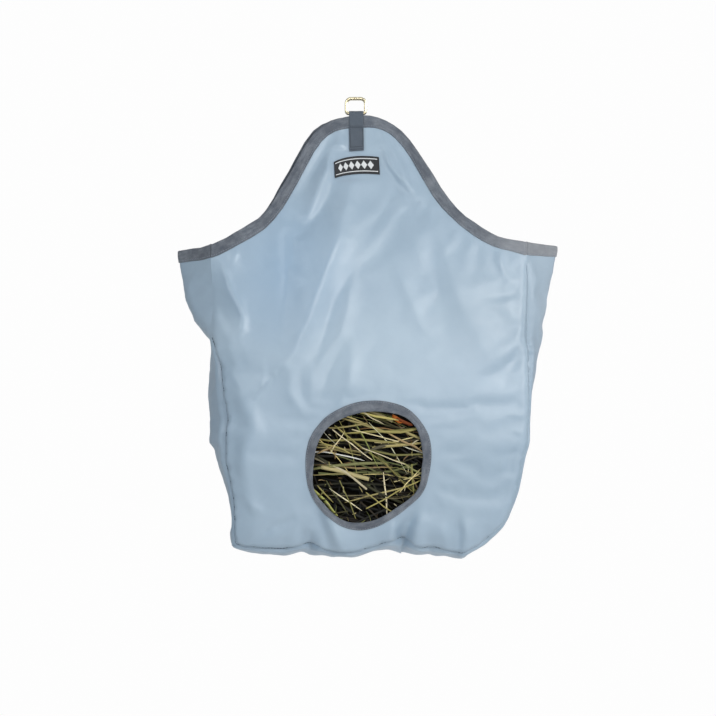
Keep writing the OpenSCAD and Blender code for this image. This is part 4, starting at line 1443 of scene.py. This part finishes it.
def ring_piece(word, mat):
    """The rounded wire ring at rest, as one smooth swept wire."""
    sg = -1 if word == "front" else 1
    rw, cw, top_r, low_r, bar = 2.0, 13.5, 7.0, 3.0, -18.6
    pts = []
    def arc(cx, cz, r, a0, a1, n):
        for k in range(n + 1):
            a = math.radians(a0 + (a1 - a0) * k / n)
            pts.append((cx + r * math.cos(a), cz + r * math.sin(a)))
    arc(cw - top_r, rw - top_r, top_r, 0, 90, 14)
    arc(-cw + top_r, rw - top_r, top_r, 90, 180, 14)
    arc(-cw + low_r, bar + low_r, low_r, 180, 270, 10)
    arc(cw - low_r, bar + low_r, low_r, 270, 360, 10)
    line = resample(np.array(pts + pts[:1]), 1.0)[:-1]
    n, s = len(line), 20
    t = np.roll(line, -1, axis=0) - np.roll(line, 1, axis=0)
    t /= np.hypot(*t.T)[:, None]
    out = np.stack([t[:, 1], -t[:, 0]], -1)
    V, UV = [], []
    for i in range(n):
        for k in range(s):
            a = 2 * math.pi * k / s
            V.append((line[i, 0] + out[i, 0] * rw * math.cos(a), sg * 4.977 + rw * math.sin(a),
                      line[i, 1] + out[i, 1] * rw * math.cos(a)))
            UV.append((i * 0.001, k * 0.0006))
    F = [(i * s + k, ((i + 1) % n) * s + k, ((i + 1) % n) * s + (k + 1) % s, i * s + (k + 1) % s)
         for i in range(n) for k in range(s)]
    V = np.array(V)
    ob = mesh_obj(word + "_ring", V, orient(V, F), mat, UV)
    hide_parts(word + "_d_ring")
    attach(ob, word + "_ring")


def tab_piece(word, web, thread_m):
    """Webbing folded over the ring's bar and sewn through both faces of the peak."""
    sg = -1 if word == "front" else 1
    back = []
    cx = 0.8
    zs = np.array([-71.0, -68.5, -64, -60, -55, -50, -45, -40, -36, -32, -29, -27, -25])
    surf = lambda z: float(panel_y(np.array([cx]), np.array([z]), sg, False)[0])
    t = 1.4
    def leg(o):
        q = []
        for z in zs:
            y = surf(z) + o
            q.append((y, z))
        return q
    hb = 2.15
    outer = leg(hb)
    inner = leg(-hb)
    arc = [(4.977 + (2.2 + 0.0) * math.cos(math.radians(a)), -18.6 + 2.2 * math.sin(math.radians(a)))
           for a in np.arange(0, 181, 12)]
    line = outer + [(5.0 + 2.3, -21.5)] + arc + [(5.0 - 2.3, -21.5)] + inner[::-1]
    line = np.array(line)
    line = resample(line, 1.1)
    k = np.array([1, 2, 1]) / 4
    for _ in range(3):
        line[1:-1] = np.stack([np.convolve(line[:, i], k, "valid") for i in (0, 1)], -1)
    n = len(line)
    m = 19
    w = np.linspace(-10, 10, m)
    G = np.empty((n, m, 3))
    tg = np.gradient(line, axis=0)
    tg /= np.hypot(*tg.T)[:, None]
    nn = np.stack([tg[:, 1], -tg[:, 0]], -1)  # in (y, z)
    # outward of the loop
    c = np.array([4.977, -30.0])
    if ((line - c) * nn).sum() < 0:
        nn = -nn
    for j in range(m):
        lean = 0.4 * (line[:, 1] + 45) / 30
        G[:, j, 0] = cx + w[j] - lean
        G[:, j, 1] = sg * line[:, 0]
        # the cut ends are a touch askew
        sag = -0.9 * (w[j] / 10) * np.clip((-line[:, 1] - 60) / 11, 0, 1)
        G[:, j, 2] = line[:, 1] + sag * -1
    N = np.stack([np.zeros(n), sg * nn[:, 0], nn[:, 1]], -1)[:, None, :].repeat(m, 1)
    edge = np.abs(w) / 10
    puff = 0.18 * np.sin(np.pi * (1 - edge)) + 0.1
    # rows of stitching pull the webbing in
    zz = line[:, 1]
    dip = 0.45 * (np.exp(-((zz + 38) / 1.6) ** 2) + np.exp(-((zz + 67.5) / 1.6) ** 2))
    G = unwarp(G + N * (puff[None, :, None] - dip[:, None, None] * 0.6))
    ob = slab(word + "_ring_tab_webbing", G, N, t, web)
    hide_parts(word + "_ring_tab")
    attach(ob, word + "_peak")
    top = G + N * (t + 0.12)
    segs = []
    half = n // 2
    for rows, rng_ in ((range(0, half - 8), 1), (range(half + 8, n), 1)):
        rows = np.array(list(rows))
        for z0 in (-36.8, -39.2, -65.8, -68.6):
            i = rows[np.argmin(np.abs(line[rows, 1] - z0))]
            segs += stitch_line(top[i, 1:-1], N[i, 1:-1], pitch=2.4, length=1.9)
        for j in (1, -2):
            sel = rows[(line[rows, 1] < -39) & (line[rows, 1] > -66)]
            if len(sel) > 3:
                segs += stitch_line(top[sel, j], N[sel, j], pitch=2.6, length=2.0)
    ob = threads(word + "_ring_tab_stitches", segs, thread_m, r=0.5)
    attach(ob, word + "_peak")


def label_grid(nu=65, nv=25):
    top = P((334, 162), (343, 158.5), (353, 156.3), (366, 156), (379, 157))
    bot = P((335, 178), (345, 175.5), (356, 174), (368, 173.8), (380, 174.5))
    ct = [np.polyfit(np.linspace(0, 1, 5), q[:, k], 3) for q in (top, bot) for k in (0, 1)]
    u = np.linspace(0, 1, nu)
    T = np.stack([np.polyval(ct[0], u), np.polyval(ct[1], u)], -1)
    B = np.stack([np.polyval(ct[2], u), np.polyval(ct[3], u)], -1)
    v = np.linspace(0, 1, nv)[None, :, None]
    return T[:, None] * (1 - v) + B[:, None] * v


def label_pieces(black, white, dark_thread):
    P2 = label_grid()
    n, m = P2.shape[:2]
    X, Z = P2[..., 0].ravel(), P2[..., 1].ravel()
    G = panel_point(X, Z, -1, False).reshape(n, m, 3)
    G[..., 1] -= label_lift(P2)
    N = grid_normals(G, False, np.array([0.0, -1.0, 0.0]))
    ob = slab("label", G, N, 0.8, black)
    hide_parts("woven_label")
    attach(ob, "front_peak")
    def at(u, v, o):
        """Point and normal of the label's face at (u, v), o above it."""
        fu, fv = u * (n - 1), v * (m - 1)
        i, j = min(int(fu), n - 2), min(int(fv), m - 2)
        a, b = fu - i, fv - j
        q = lambda A: (A[i, j] * (1 - a) * (1 - b) + A[i + 1, j] * a * (1 - b) + A[i, j + 1] * (1 - a) * b +
                       A[i + 1, j + 1] * a * b)
        nn = q(N)
        nn = nn / np.linalg.norm(nn)
        return q(G) + nn * (0.8 + o), nn
    V, F = [], []
    def plate(poly, k):
        """A thin raised figure: poly in (u, v) on the label; k is not used."""
        base = len(V)
        for o in (0.16, -0.25):
            for p in poly:
                V.append(at(p[0], p[1], o)[0])
        c = len(poly)
        F.append(tuple(base + i for i in range(c)))
        F.append(tuple(base + c + i for i in range(c - 1, -1, -1)))
        for i in range(c):
            j = (i + 1) % c
            F.append((base + j, base + i, base + c + i, base + c + j))
    def long_bar(u0, u1, v0, v1, cells):
        base = len(V)
        for k in range(cells + 1):
            a = u0 + (u1 - u0) * k / cells
            for vv in (v0, v1):
                for o in (0.16, -0.25):
                    V.append(at(a, vv, o)[0])
        for k in range(cells):
            q = base + 4 * k
            F.extend([(q, q + 4, q + 6, q + 2), (q + 1, q + 3, q + 7, q + 5), (q, q + 1, q + 5, q + 4),
                      (q + 2, q + 6, q + 7, q + 3)])
        q = base + 4 * cells
        F.extend([(base, base + 2, base + 3, base + 1), (q, q + 1, q + 3, q + 2)])
    long_bar(0.035, 0.965, 0.125, 0.175, 48)
    long_bar(0.035, 0.965, 0.825, 0.875, 48)
    # a plain chain of lozenges, touching at their points
    cnt = 6
    for k in range(cnt):
        u = 0.17 + 0.66 * k / (cnt - 1)
        du, dv = 0.062, 0.235
        plate([(u, 0.5 - dv), (u + du, 0.5), (u, 0.5 + dv), (u - du, 0.5)], 1)
    W = np.array(V)
    ob = mesh_obj("label_figure", W, F, white, uv=np.stack([W[:, 0], W[:, 2]], -1) * MM, smooth=False)
    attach(ob, "front_peak")
    segs = []
    for v in (0.055, 0.945):
        q = [at(u, v, 0.1) for u in np.linspace(0.02, 0.98, 40)]
        segs += stitch_line(np.array([a for a, _ in q]), np.array([b for _, b in q]), pitch=2.6, length=1.9)
    for u in (0.02, 0.98):
        q = [at(u, v, 0.1) for v in np.linspace(0.06, 0.94, 16)]
        segs += stitch_line(np.array([a for a, _ in q]), np.array([b for _, b in q]), pitch=2.6, length=1.9)
    ob = threads("label_stitches", segs, dark_thread, r=0.27)
    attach(ob, "front_peak")


def label_lift(P2):
    """How far the label's back stands off the smooth panel: just over the cloth's folds."""
    X, Z = P2[..., 0].ravel(), P2[..., 1].ravel()
    d = panel_y(X, Z, -1, True) - panel_y(X, Z, -1, False)
    d = d.reshape(P2.shape[:2])
    # the label is stiffer than the cloth: keep only the slow part of the folds
    k = np.ones(15) / 15
    for _ in range(2):
        d = np.stack([np.convolve(np.pad(r, 7, mode="edge"), k, "valid") for r in d.T], -1)
        k2 = np.ones(7) / 7
        d = np.stack([np.convolve(np.pad(r, 3, mode="edge"), k2, "valid") for r in d], 0)
    return d + 1.0


# ------------------------------------------------------------------ hay
STRAW = [(208, 194, 140), (194, 180, 120), (186, 172, 112), (214, 202, 160), (172, 162, 98), (152, 148, 88),
         (134, 136, 78), (114, 122, 68), (196, 168, 122), (174, 142, 98), (132, 102, 66), (100, 76, 48),
         (224, 212, 176), (122, 126, 80), (162, 162, 106), (98, 106, 64), (86, 86, 56), (206, 112, 38), (150, 74, 30)]


ROOM_X, ROOM_Z = np.arange(-216, 262, 4.0), np.arange(-644, -280, 4.0)


def room_table(side):
    """Free depth from the middle plane inside a panel, with a little to spare, on a grid."""
    gx, gz = np.meshgrid(ROOM_X, ROOM_Z, indexing="ij")
    y = panel_y(gx.ravel(), gz.ravel(), side).reshape(gx.shape)
    q = np.pad(y, 2, mode="edge")
    low = np.min([q[a:a + y.shape[0], b:b + y.shape[1]] for a in range(5) for b in range(5)], axis=0)
    foot = np.interp(gx, [p[0] for p in FOOT], [p[1] for p in FOOT])
    low = np.where(gz < foot + 12, 20.0, low)
    edge = np.minimum(gx - I(gz, SEAM_L), I(gz, SEAM_R) - gx)
    return low - 4.5 - 10 * (1 - sstep(edge, 0, 30))


ROOM = {-1: room_table(-1), 1: room_table(1)}


def room(x, z, side):
    """Free depth at (x, z)."""
    i = min(max((x - ROOM_X[0]) / 4, 0), len(ROOM_X) - 1.001)
    j = min(max((z - ROOM_Z[0]) / 4, 0), len(ROOM_Z) - 1.001)
    a, b = int(i), int(j)
    u, v = i - a, j - b
    T = ROOM[side]
    return T[a, b] * (1 - u) * (1 - v) + T[a + 1, b] * u * (1 - v) + T[a, b + 1] * (1 - u) * v + T[a + 1, b + 1] * u * v


def keep_in(c, w):
    """Moves a point of a stem back inside the cloth."""
    x, y, z = c
    f = float(np.interp(x, [p[0] for p in FOOT], [p[1] for p in FOOT])) + 16
    z = max(z, f)
    x = max(x, max(float(I(z, SEAM_L)), float(I(z, FOLD_L))) + 11)
    x = min(x, min(float(I(z, SEAM_R)), float(I(z, FOLD_R))) - 11)
    if y < 0:
        y = -min(-y, room(x, z, -1) - w * 0.5)
    else:
        y = min(y, room(x, z, 1) - w * 0.5)
    return np.array([x, y, z])


def stem(p0, p1, bow, w, th, col, kind, rnd, seg=7, droop=0.0):
    """One stem as (verts, faces, uv, colours): a bent blade or a round straw from p0 to p1."""
    p0, p1 = np.asarray(p0, float), np.asarray(p1, float)
    ax = p1 - p0
    L = np.linalg.norm(ax)
    ax = ax / max(L, 1e-6)
    up = np.array([0.0, -1.0, 0.0]) if abs(ax[1]) < 0.9 else np.array([0.0, 0.0, 1.0])
    a = np.cross(ax, up)
    a /= np.linalg.norm(a)
    b = np.cross(a, ax)
    ph = rnd.uniform(0, 6.28)
    tw0, tw1 = rnd.uniform(-0.9, 0.9), rnd.uniform(-1.2, 1.2)
    bo = a * bow * math.cos(ph) + b * bow * 0.6 * math.sin(ph)
    kink = rnd.uniform(0.25, 0.75)
    kd = (a * rnd.uniform(-1, 1) + b * rnd.uniform(-1, 1)) * L * 0.035
    V, UV, F = [], [], []
    k = 6 if kind == "straw" else 4
    for i in range(seg + 1):
        t = i / seg
        c = p0 + ax * L * t + bo * 4 * t * (1 - t) + kd * max(0, 1 - abs(t - kink) / 0.3)
        c = keep_in(c + np.array([0, 0, -droop * t * t]), w)
        tw = tw0 + (tw1 - tw0) * t
        ww = w * (0.55 + 0.45 * min(1, 6 * t)) * (1 - 0.75 * max(0, (t - 0.8) / 0.2) ** 1.5)
        if kind == "straw":
            ww = w * (1 + 0.25 * math.exp(-((t - kink) / 0.03) ** 2))
            for q in range(k):
                an = 2 * math.pi * q / k
                V.append(c + a * math.cos(an) * ww / 2 + b * math.sin(an) * ww / 2 * 0.85)
                UV.append((t * L * MM, q / k * w * MM * 3))
        else:
            s, n = a * math.cos(tw) + b * math.sin(tw), b * math.cos(tw) - a * math.sin(tw)
            for x, y in ((-0.5, 0.12), (0.0, -0.10), (0.5, 0.12), (0.0, -0.34)):
                V.append(c + s * ww * x + n * (ww * y * 0.8 - (th if y < -0.2 else 0)))
                UV.append((t * L * MM, (x + 0.5) * w * MM))
    for i in range(seg):
        for q in range(k):
            q2 = (q + 1) % k
            F.append((i * k + q, i * k + q2, (i + 1) * k + q2, (i + 1) * k + q))
    F.append(tuple(range(k - 1, -1, -1)))
    F.append(tuple(seg * k + q for q in range(k)))
    return V, F, UV, [col] * len(V)


class Bundle:
    def __init__(self):
        self.V, self.F, self.UV, self.C = [], [], [], []

    def add(self, piece):
        V, F, UV, C = piece
        b = len(self.V)
        self.V += list(V)
        self.F += [tuple(i + b for i in f) for f in F]
        self.UV += list(UV)
        self.C += list(C)

    def make(self, name, mat):
        ob = mesh_obj(name, np.array(self.V), self.F, mat, np.array(self.UV), stem=np.array(self.C), smooth=True)
        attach(ob, "bag")
        return ob


def straw_colour(rnd, shade=1.0, pick=None):
    c = STRAW[pick] if pick is not None else STRAW[min(16, int(rnd.random() ** 1.1 * 17))]
    j = rnd.uniform(0.88, 1.08) * shade
    return srgb(*[min(250, v * j) for v in c])


def hay_front(mat):
    """Stems behind the feed hole: deep ones first, darkened as painted shade, then the top layer, brightened as painted
    light.
    """
    r = random.Random(21)
    B = Bundle()
    cx, cz = HOLE_C

    def place(depth0, depth1, n, lmin, lmax, w0, w1, shade, steep):
        for _ in range(n):
            rad = 92 * math.sqrt(r.random())
            a = r.uniform(0, 2 * math.pi)
            x, z = cx + rad * math.cos(a), cz + rad * math.sin(a)
            L = r.uniform(lmin, lmax)
            # mostly lying flat or on a slant
            an = r.gauss(-0.10 - 0.25 * (x - cx) / 90, 0.26) if r.random() > steep else r.gauss(-0.75, 0.5)
            dx, dz = math.cos(an) * L / 2, math.sin(an) * L / 2
            y = -r.uniform(depth0, depth1)
            ty = r.gauss(0, 0.10) * L / 2
            p0, p1 = [x - dx, y - ty, z - dz], [x + dx, y + ty, z + dz]
            for p in (p0, p1):
                d = math.hypot(p[0] - cx, p[2] - cz)
                lim = 68.5 if d > 70 else 75.0
                p[1] = -min(-p[1], lim)
                p[0] = min(max(p[0], -150), 195)
                p[2] = min(max(p[2], -612), -380)
            kind = "straw" if r.random() < 0.25 else "blade"
            w = r.uniform(w0, w1)
            # painted shade: each stem's colour is scaled by its layer's shade factor, and darkened further below the
            # middle of the hole
            dark = shade * (1.0 if z > cz - 2 else max(0.30, 1 + (z - cz + 2) / 62))
            if z < cz - 12 and r.random() < 0.45:
                continue
            B.add(stem(p0, p1, r.uniform(0, 0.08) * L, w, 0.25, straw_colour(r, dark), kind, r, seg=7))

    # painted shade and light: the shade factors darken the deep layers nearly to black and brighten the front-most ones
    place(30, 48, 80, 80, 170, 1.6, 4.4, 0.02, 0.35)
    place(42, 58, 80, 70, 170, 1.4, 4.2, 0.05, 0.30)
    place(54, 66, 60, 70, 160, 1.2, 4.2, 0.12, 0.25)
    place(62, 72, 30, 60, 150, 1.2, 4.4, 0.42, 0.22)
    place(65, 74, 28, 60, 150, 1.0, 4.4, 0.92, 0.22)
    place(68, 75, 36, 40, 120, 0.6, 1.9, 1.3, 0.35)
    # a few that stand out at the front
    hero = [
        ((335, 424), (416, 493), 75, 3.6, "blade", 4, 1.12), ((322, 465), (369, 477), 78.5, 6.0, "straw", 0, 1.0),
        ((333, 428), (372, 458), 75, 1.4, "straw", 12, 1.12), ((319, 443), (366, 452), 74, 5.5, "blade", 1, 0.98),
        ((344, 432), (424, 426), 73, 3.6, "blade", 4, 0.95), ((342, 417), (392, 433), 73, 3.4, "blade", 1, 1.0),
        ((392, 414), (402, 421), 74, 7.0, "blade", 17, 1.0), ((396, 417), (412, 424), 73, 5.0, "blade", 18, 0.9),
        ((313, 486), (341, 517), 76, 5.0, "blade", 6, 1.4), ((318, 483), (334, 500), 75, 2.0, "blade", 4, 1.1), ((327, 478), (349, 512), 74, 2.2, "blade", 16, 1.3),
        ((383, 470), (387, 517), 75, 2.0, "blade", 12, 1.05), ((366, 506), (420, 478), 74, 1.8, "straw", 4, 1.1),
        ((372, 446), (424, 441), 72, 4.0, "blade", 1, 0.92), ((411, 462), (413, 492), 74, 3.0, "blade", 5, 1.1),
        ((318, 440), (352, 452), 74, 2.0, "blade", 4, 1.05),
        ((340, 413), (371, 425), 74.5, 2.4, "blade", 1, 1.1), ((352, 409), (398, 419), 75, 3.2, "blade", 4, 1.1),
        ((361, 409), (384, 423), 75.5, 1.6, "blade", 12, 1.0), ((338, 420), (352, 410), 75, 1.6, "blade", 5, 1.0),
        ((318, 452), (340, 441), 75, 2.6, "blade", 8, 0.95), ((404, 430), (424, 438), 74.5, 4.0, "blade", 1, 0.95),
        ((345, 500), (408, 484), 74, 2.2, "blade", 1, 1.05), ((388, 432), (424, 452), 74, 2.6, "blade", 8, 1.0),
        ((330, 486), (362, 508), 74, 1.6, "blade", 12, 1.1), ((352, 428), (398, 440), 73, 1.5, "straw", 3, 1.05),
        ((394, 458), (426, 474), 73.5, 1.8, "straw", 14, 1.05), ((362, 446), (404, 462), 74.5, 1.4, "straw", 12, 1.1),
        ((340, 478), (356, 516), 74.5, 1.3, "straw", 5, 1.05), ((399, 490), (420, 466), 74.5, 1.5, "blade", 0, 1.1),
        ((366, 490), (396, 512), 74.5, 1.6, "straw", 4, 1.0), ((330, 452), (345, 430), 74, 1.4, "blade", 3, 1.05),
    ]
    for a, b, dep, w, kind, pick, sh in hero:
        q = P(a, b)
        B.add(stem((q[0, 0], -dep + 1, q[0, 1]), (q[1, 0], -dep, q[1, 1]), r.uniform(0.2, 1.6), w, 0.3,
                   straw_colour(r, sh * 1.0, pick), kind, r, seg=10))
    # small seed heads and chaff
    for _ in range(90):
        rad = 84 * math.sqrt(r.random())
        a = r.uniform(0, 2 * math.pi)
        x, z = cx + rad * math.cos(a), cz + rad * math.sin(a)
        L = r.uniform(4, 14)
        an = r.uniform(-1.57, 1.57)
        y = -r.uniform(66, 75.5 if rad < 68 else 68.5)
        B.add(stem((x, y, z), (x + L * math.cos(an), y + r.uniform(-1, 1), z + L * math.sin(an)), 1.0,
                   r.uniform(0.6, 1.6), 0.2, straw_colour(r, r.uniform(0.8, 1.12)), "blade", r, seg=4))
    ob = B.make("hay_front_stems", mat)
    return ob


def hay_top(mat):
    """Loose stems over the top of the fill, seen through the open mouth."""
    r = random.Random(33)
    B = Bundle()
    for _ in range(1150):
        x = r.uniform(-176, 212)
        lim = float(I(-320, MID)) - 14
        y = r.uniform(-lim, lim)
        L = r.uniform(40, 130)
        an = r.uniform(0, math.pi)
        up = r.gauss(0, 0.12)
        dx, dy, dz = math.cos(an) * L / 2, math.sin(an) * L / 2, up * L / 2
        z = -322 + r.uniform(-14, 12) + 8 * math.cos((x - 20) / 90)
        lx0, lx1, ly = -184, 224, 58
        p0 = (min(max(x - dx, lx0), lx1), min(max(y - dy, -ly), ly), z - dz)
        p1 = (min(max(x + dx, lx0), lx1), min(max(y + dy, -ly), ly), z + dz)
        B.add(stem(p0, p1, r.uniform(0, 0.09) * L, r.uniform(0.9, 3.2), 0.25, straw_colour(r, r.uniform(0.7, 1.05)),
                   "straw" if r.random() < 0.25 else "blade", r, seg=6))
    return B.make("hay_top_stems", mat)


def hay_core(mat):
    """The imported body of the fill: a lumpy closed form just inside the cloth."""
    zs = np.concatenate([[-611], np.arange(-602, -330, 12.0), [-326]])
    m = 72
    rows = []
    r = random.Random(9)
    for z in zs:
        l = max(float(I(z, SEAM_L)), float(I(z, FOLD_L))) + 13
        rr = min(float(I(z, SEAM_R)), float(I(z, FOLD_R))) - 13
        if z < -590:
            foot_l, foot_r = -154.0, 166.0
            l, rr = max(l, foot_l), min(rr, foot_r)
        c = (l + rr) / 2
        a = (rr - l) / 2
        d = float(I(z, MID)) - 26
        row = []
        for k in range(m):
            th = 2 * math.pi * k / m
            cs, sn = math.cos(th), math.sin(th)
            e = 0.42
            x = c + a * math.copysign(abs(cs) ** e, cs)
            y = d * math.copysign(abs(sn) ** e, sn)
            q = 4.5 * noise.noise(Vector((x / 24, y / 24, z / 18)))
            hx, hz = x - HOLE_C[0], z - HOLE_C[1]
            dent = 6 * max(0, 1 - math.hypot(hx, hz) / 110) if y < 0 else 0
            row.append((x - 0.02 * q * cs * 40, y * (1 - dent / 60) + q * (1 if y > 0 else -1) * 0.6, z + q * 0.8))
        rows.append(row)
    V = [p for row in rows for p in row]
    F = []
    for i in range(len(rows) - 1):
        for k in range(m):
            k2 = (k + 1) % m
            F.append((i * m + k, i * m + k2, (i + 1) * m + k2, (i + 1) * m + k))
    cb, ctp = len(V), len(V) + 1
    V.append(tuple(np.mean(rows[0], axis=0)))
    V.append(tuple(np.mean(rows[-1], axis=0) + np.array([0, 0, 6])))
    for k in range(m):
        k2 = (k + 1) % m
        F.append((k2, k, cb))
        F.append(((len(rows) - 1) * m + k, (len(rows) - 1) * m + k2, ctp))
    V = np.array(V)
    ob = mesh_obj("hay_core", V, orient(V, F), mat)
    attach(ob, "bag")
    return ob


# ------------------------------------------------------------------ seams
def seam_threads(mat):
    """The sewing thread lying in the drawn-in side and foot seams; its dark colour also stands in for the shade in the
    seam groove, as painted shade.
    """
    n = len(SEAM_FINE)
    idx = np.arange(0, n - 0.5, 0.5)
    out, _, _, base = STRIP
    X, Z = (np.interp(idx, np.arange(n), SEAM_FINE[:, k]) for k in (0, 1))
    o = np.stack([np.interp(idx, np.arange(n), out[:, 0]), np.zeros(len(idx)), np.interp(idx, np.arange(n), out[:, 1])], -1)
    on = tuck_at(X, Z, np.interp(idx, np.arange(n), base))
    segs = []
    for side in (-1.0, 1.0):
        p = strip_spot(np.stack([idx, np.full(len(idx), side)], -1))
        up = np.array([0.0, side, 0.0]) + 0.35 * o
        p = p + up * 0.75
        segs += stitch_line(p[on > 0.9], up[on > 0.9], pitch=4.2, length=3.9)
    ob = threads("seam_stitches", segs, mat, r=0.62)
    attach(ob, "bag")


def seam_tapes(tape_m):
    """Narrow tape on the seam allowances inside the bag, from under the mouth round the foot."""
    n = len(SEAM_FINE)
    a, b = 8, n - 9
    idx = np.arange(a, b + 1, 1.0)
    pts = np.stack([np.interp(idx, np.arange(n), SEAM_FINE[:, k]) for k in (0, 1)], -1)
    out = np.stack([np.interp(idx, np.arange(n), STRIP[0][:, k]) for k in (0, 1)], -1)
    for side, word in ((-1, "front"), (1, "back")):
        G = []
        for w in (0, 1):
            q = pts - out * (7.5 + 8.5 * w)
            for _ in range(12):
                q[1:-1] = (q[:-2] + 2 * q[1:-1] + q[2:]) / 4
            y = np.minimum(panel_y(q[:, 0], q[:, 1], side, False), panel_y(q[:, 0], q[:, 1], side)) - 9.0 - 1.0 * w
            G.append(np.stack([q[:, 0], side * y, q[:, 1]], -1))
        G = unwarp(np.stack([G[1] * (1 - t) + G[0] * t for t in np.linspace(0, 1, 5)], 1))
        N = grid_normals(G, False, np.array([0.0, float(side), 0.0]))
        ob = band(word + "_seam_tape", G, N, tape_m, h=0.7, ripple=0.1, seed=20.0 + side)
        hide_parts(word + "_seam_binding")
        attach(ob, "bag")


# ------------------------------------------------------------------ backdrop
def backdrop(mat):
    """A round pale floor well below the hung bag."""
    n, z, r = 96, -1300.0, 3300.0
    V = [(r * math.cos(2 * math.pi * k / n), r * math.sin(2 * math.pi * k / n), z) for k in range(n)]
    ob = mesh_obj("floor", np.array(V), [tuple(range(n))], mat, smooth=False)


# ------------------------------------------------------------------ build
def main():
    camera()
    lights()
    nyl = nylon()
    tape_m = tape()
    dark = thread_mat("thread_grey", (128, 136, 148))
    tab_thread = thread_mat("thread_tab", (30, 34, 44))
    black_thread = thread_mat("thread_black", (26, 27, 30))
    web = web_mat()
    brass = brass_mat()
    stems = hay_mat()

    parts = cloth_pieces()
    made = {}
    for name, (v, tri, par) in parts.items():
        V, F = thick(v, tri, 0.8)
        if name == "gusset_cloth":
            uv = np.stack([par[:, 0] * SEAM_STEP, par[:, 1] * 78], -1)
        else:
            uv = par
        rim = boundary_edges(tri)
        ob = mesh_obj(name, V, F, nyl, np.concatenate([uv, uv]) * MM,
                      sharp=[tuple(e) for e in np.concatenate([rim, rim + len(v)]).tolist()])
        a = v[tri]
        print(name, "area m2", round(float(np.linalg.norm(np.cross(a[:, 1] - a[:, 0], a[:, 2] - a[:, 0]), axis=1).sum()) / 2e6, 4),
              "tris", len(F))
        made[name] = ob
    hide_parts("front_panel", "front_peak_panel")
    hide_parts("back_panel", "back_peak_panel")
    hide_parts("left_gusset", "right_gusset", "base_gusset")
    fold_blend(made["front_panel_cloth"])
    fold_blend(made["back_panel_cloth"])
    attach(made["gusset_cloth"], "bag")

    bindings(tape_m, dark)
    seam_tapes(tape_m)
    # painted shade and highlight: the seam thread's dark colour also stands in for the groove's shade, and its pale
    # right-hand colour is a painted highlight
    seam_threads(thread_mat("thread_seam", (58, 74, 92), (168, 184, 198)))
    for word in ("front", "back"):
        ring_piece(word, brass)
        tab_piece(word, web, tab_thread)
    label_pieces(label_mat("label_black", (24, 25, 28), (44, 46, 50)), label_mat("label_white", (205, 208, 210), (236, 238, 240)),
                 black_thread)
    core = hay_core(hay_core_mat())
    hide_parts("hay_fill")
    hay_front(stems)
    hay_top(stems)
    backdrop(stage_mat())


main()
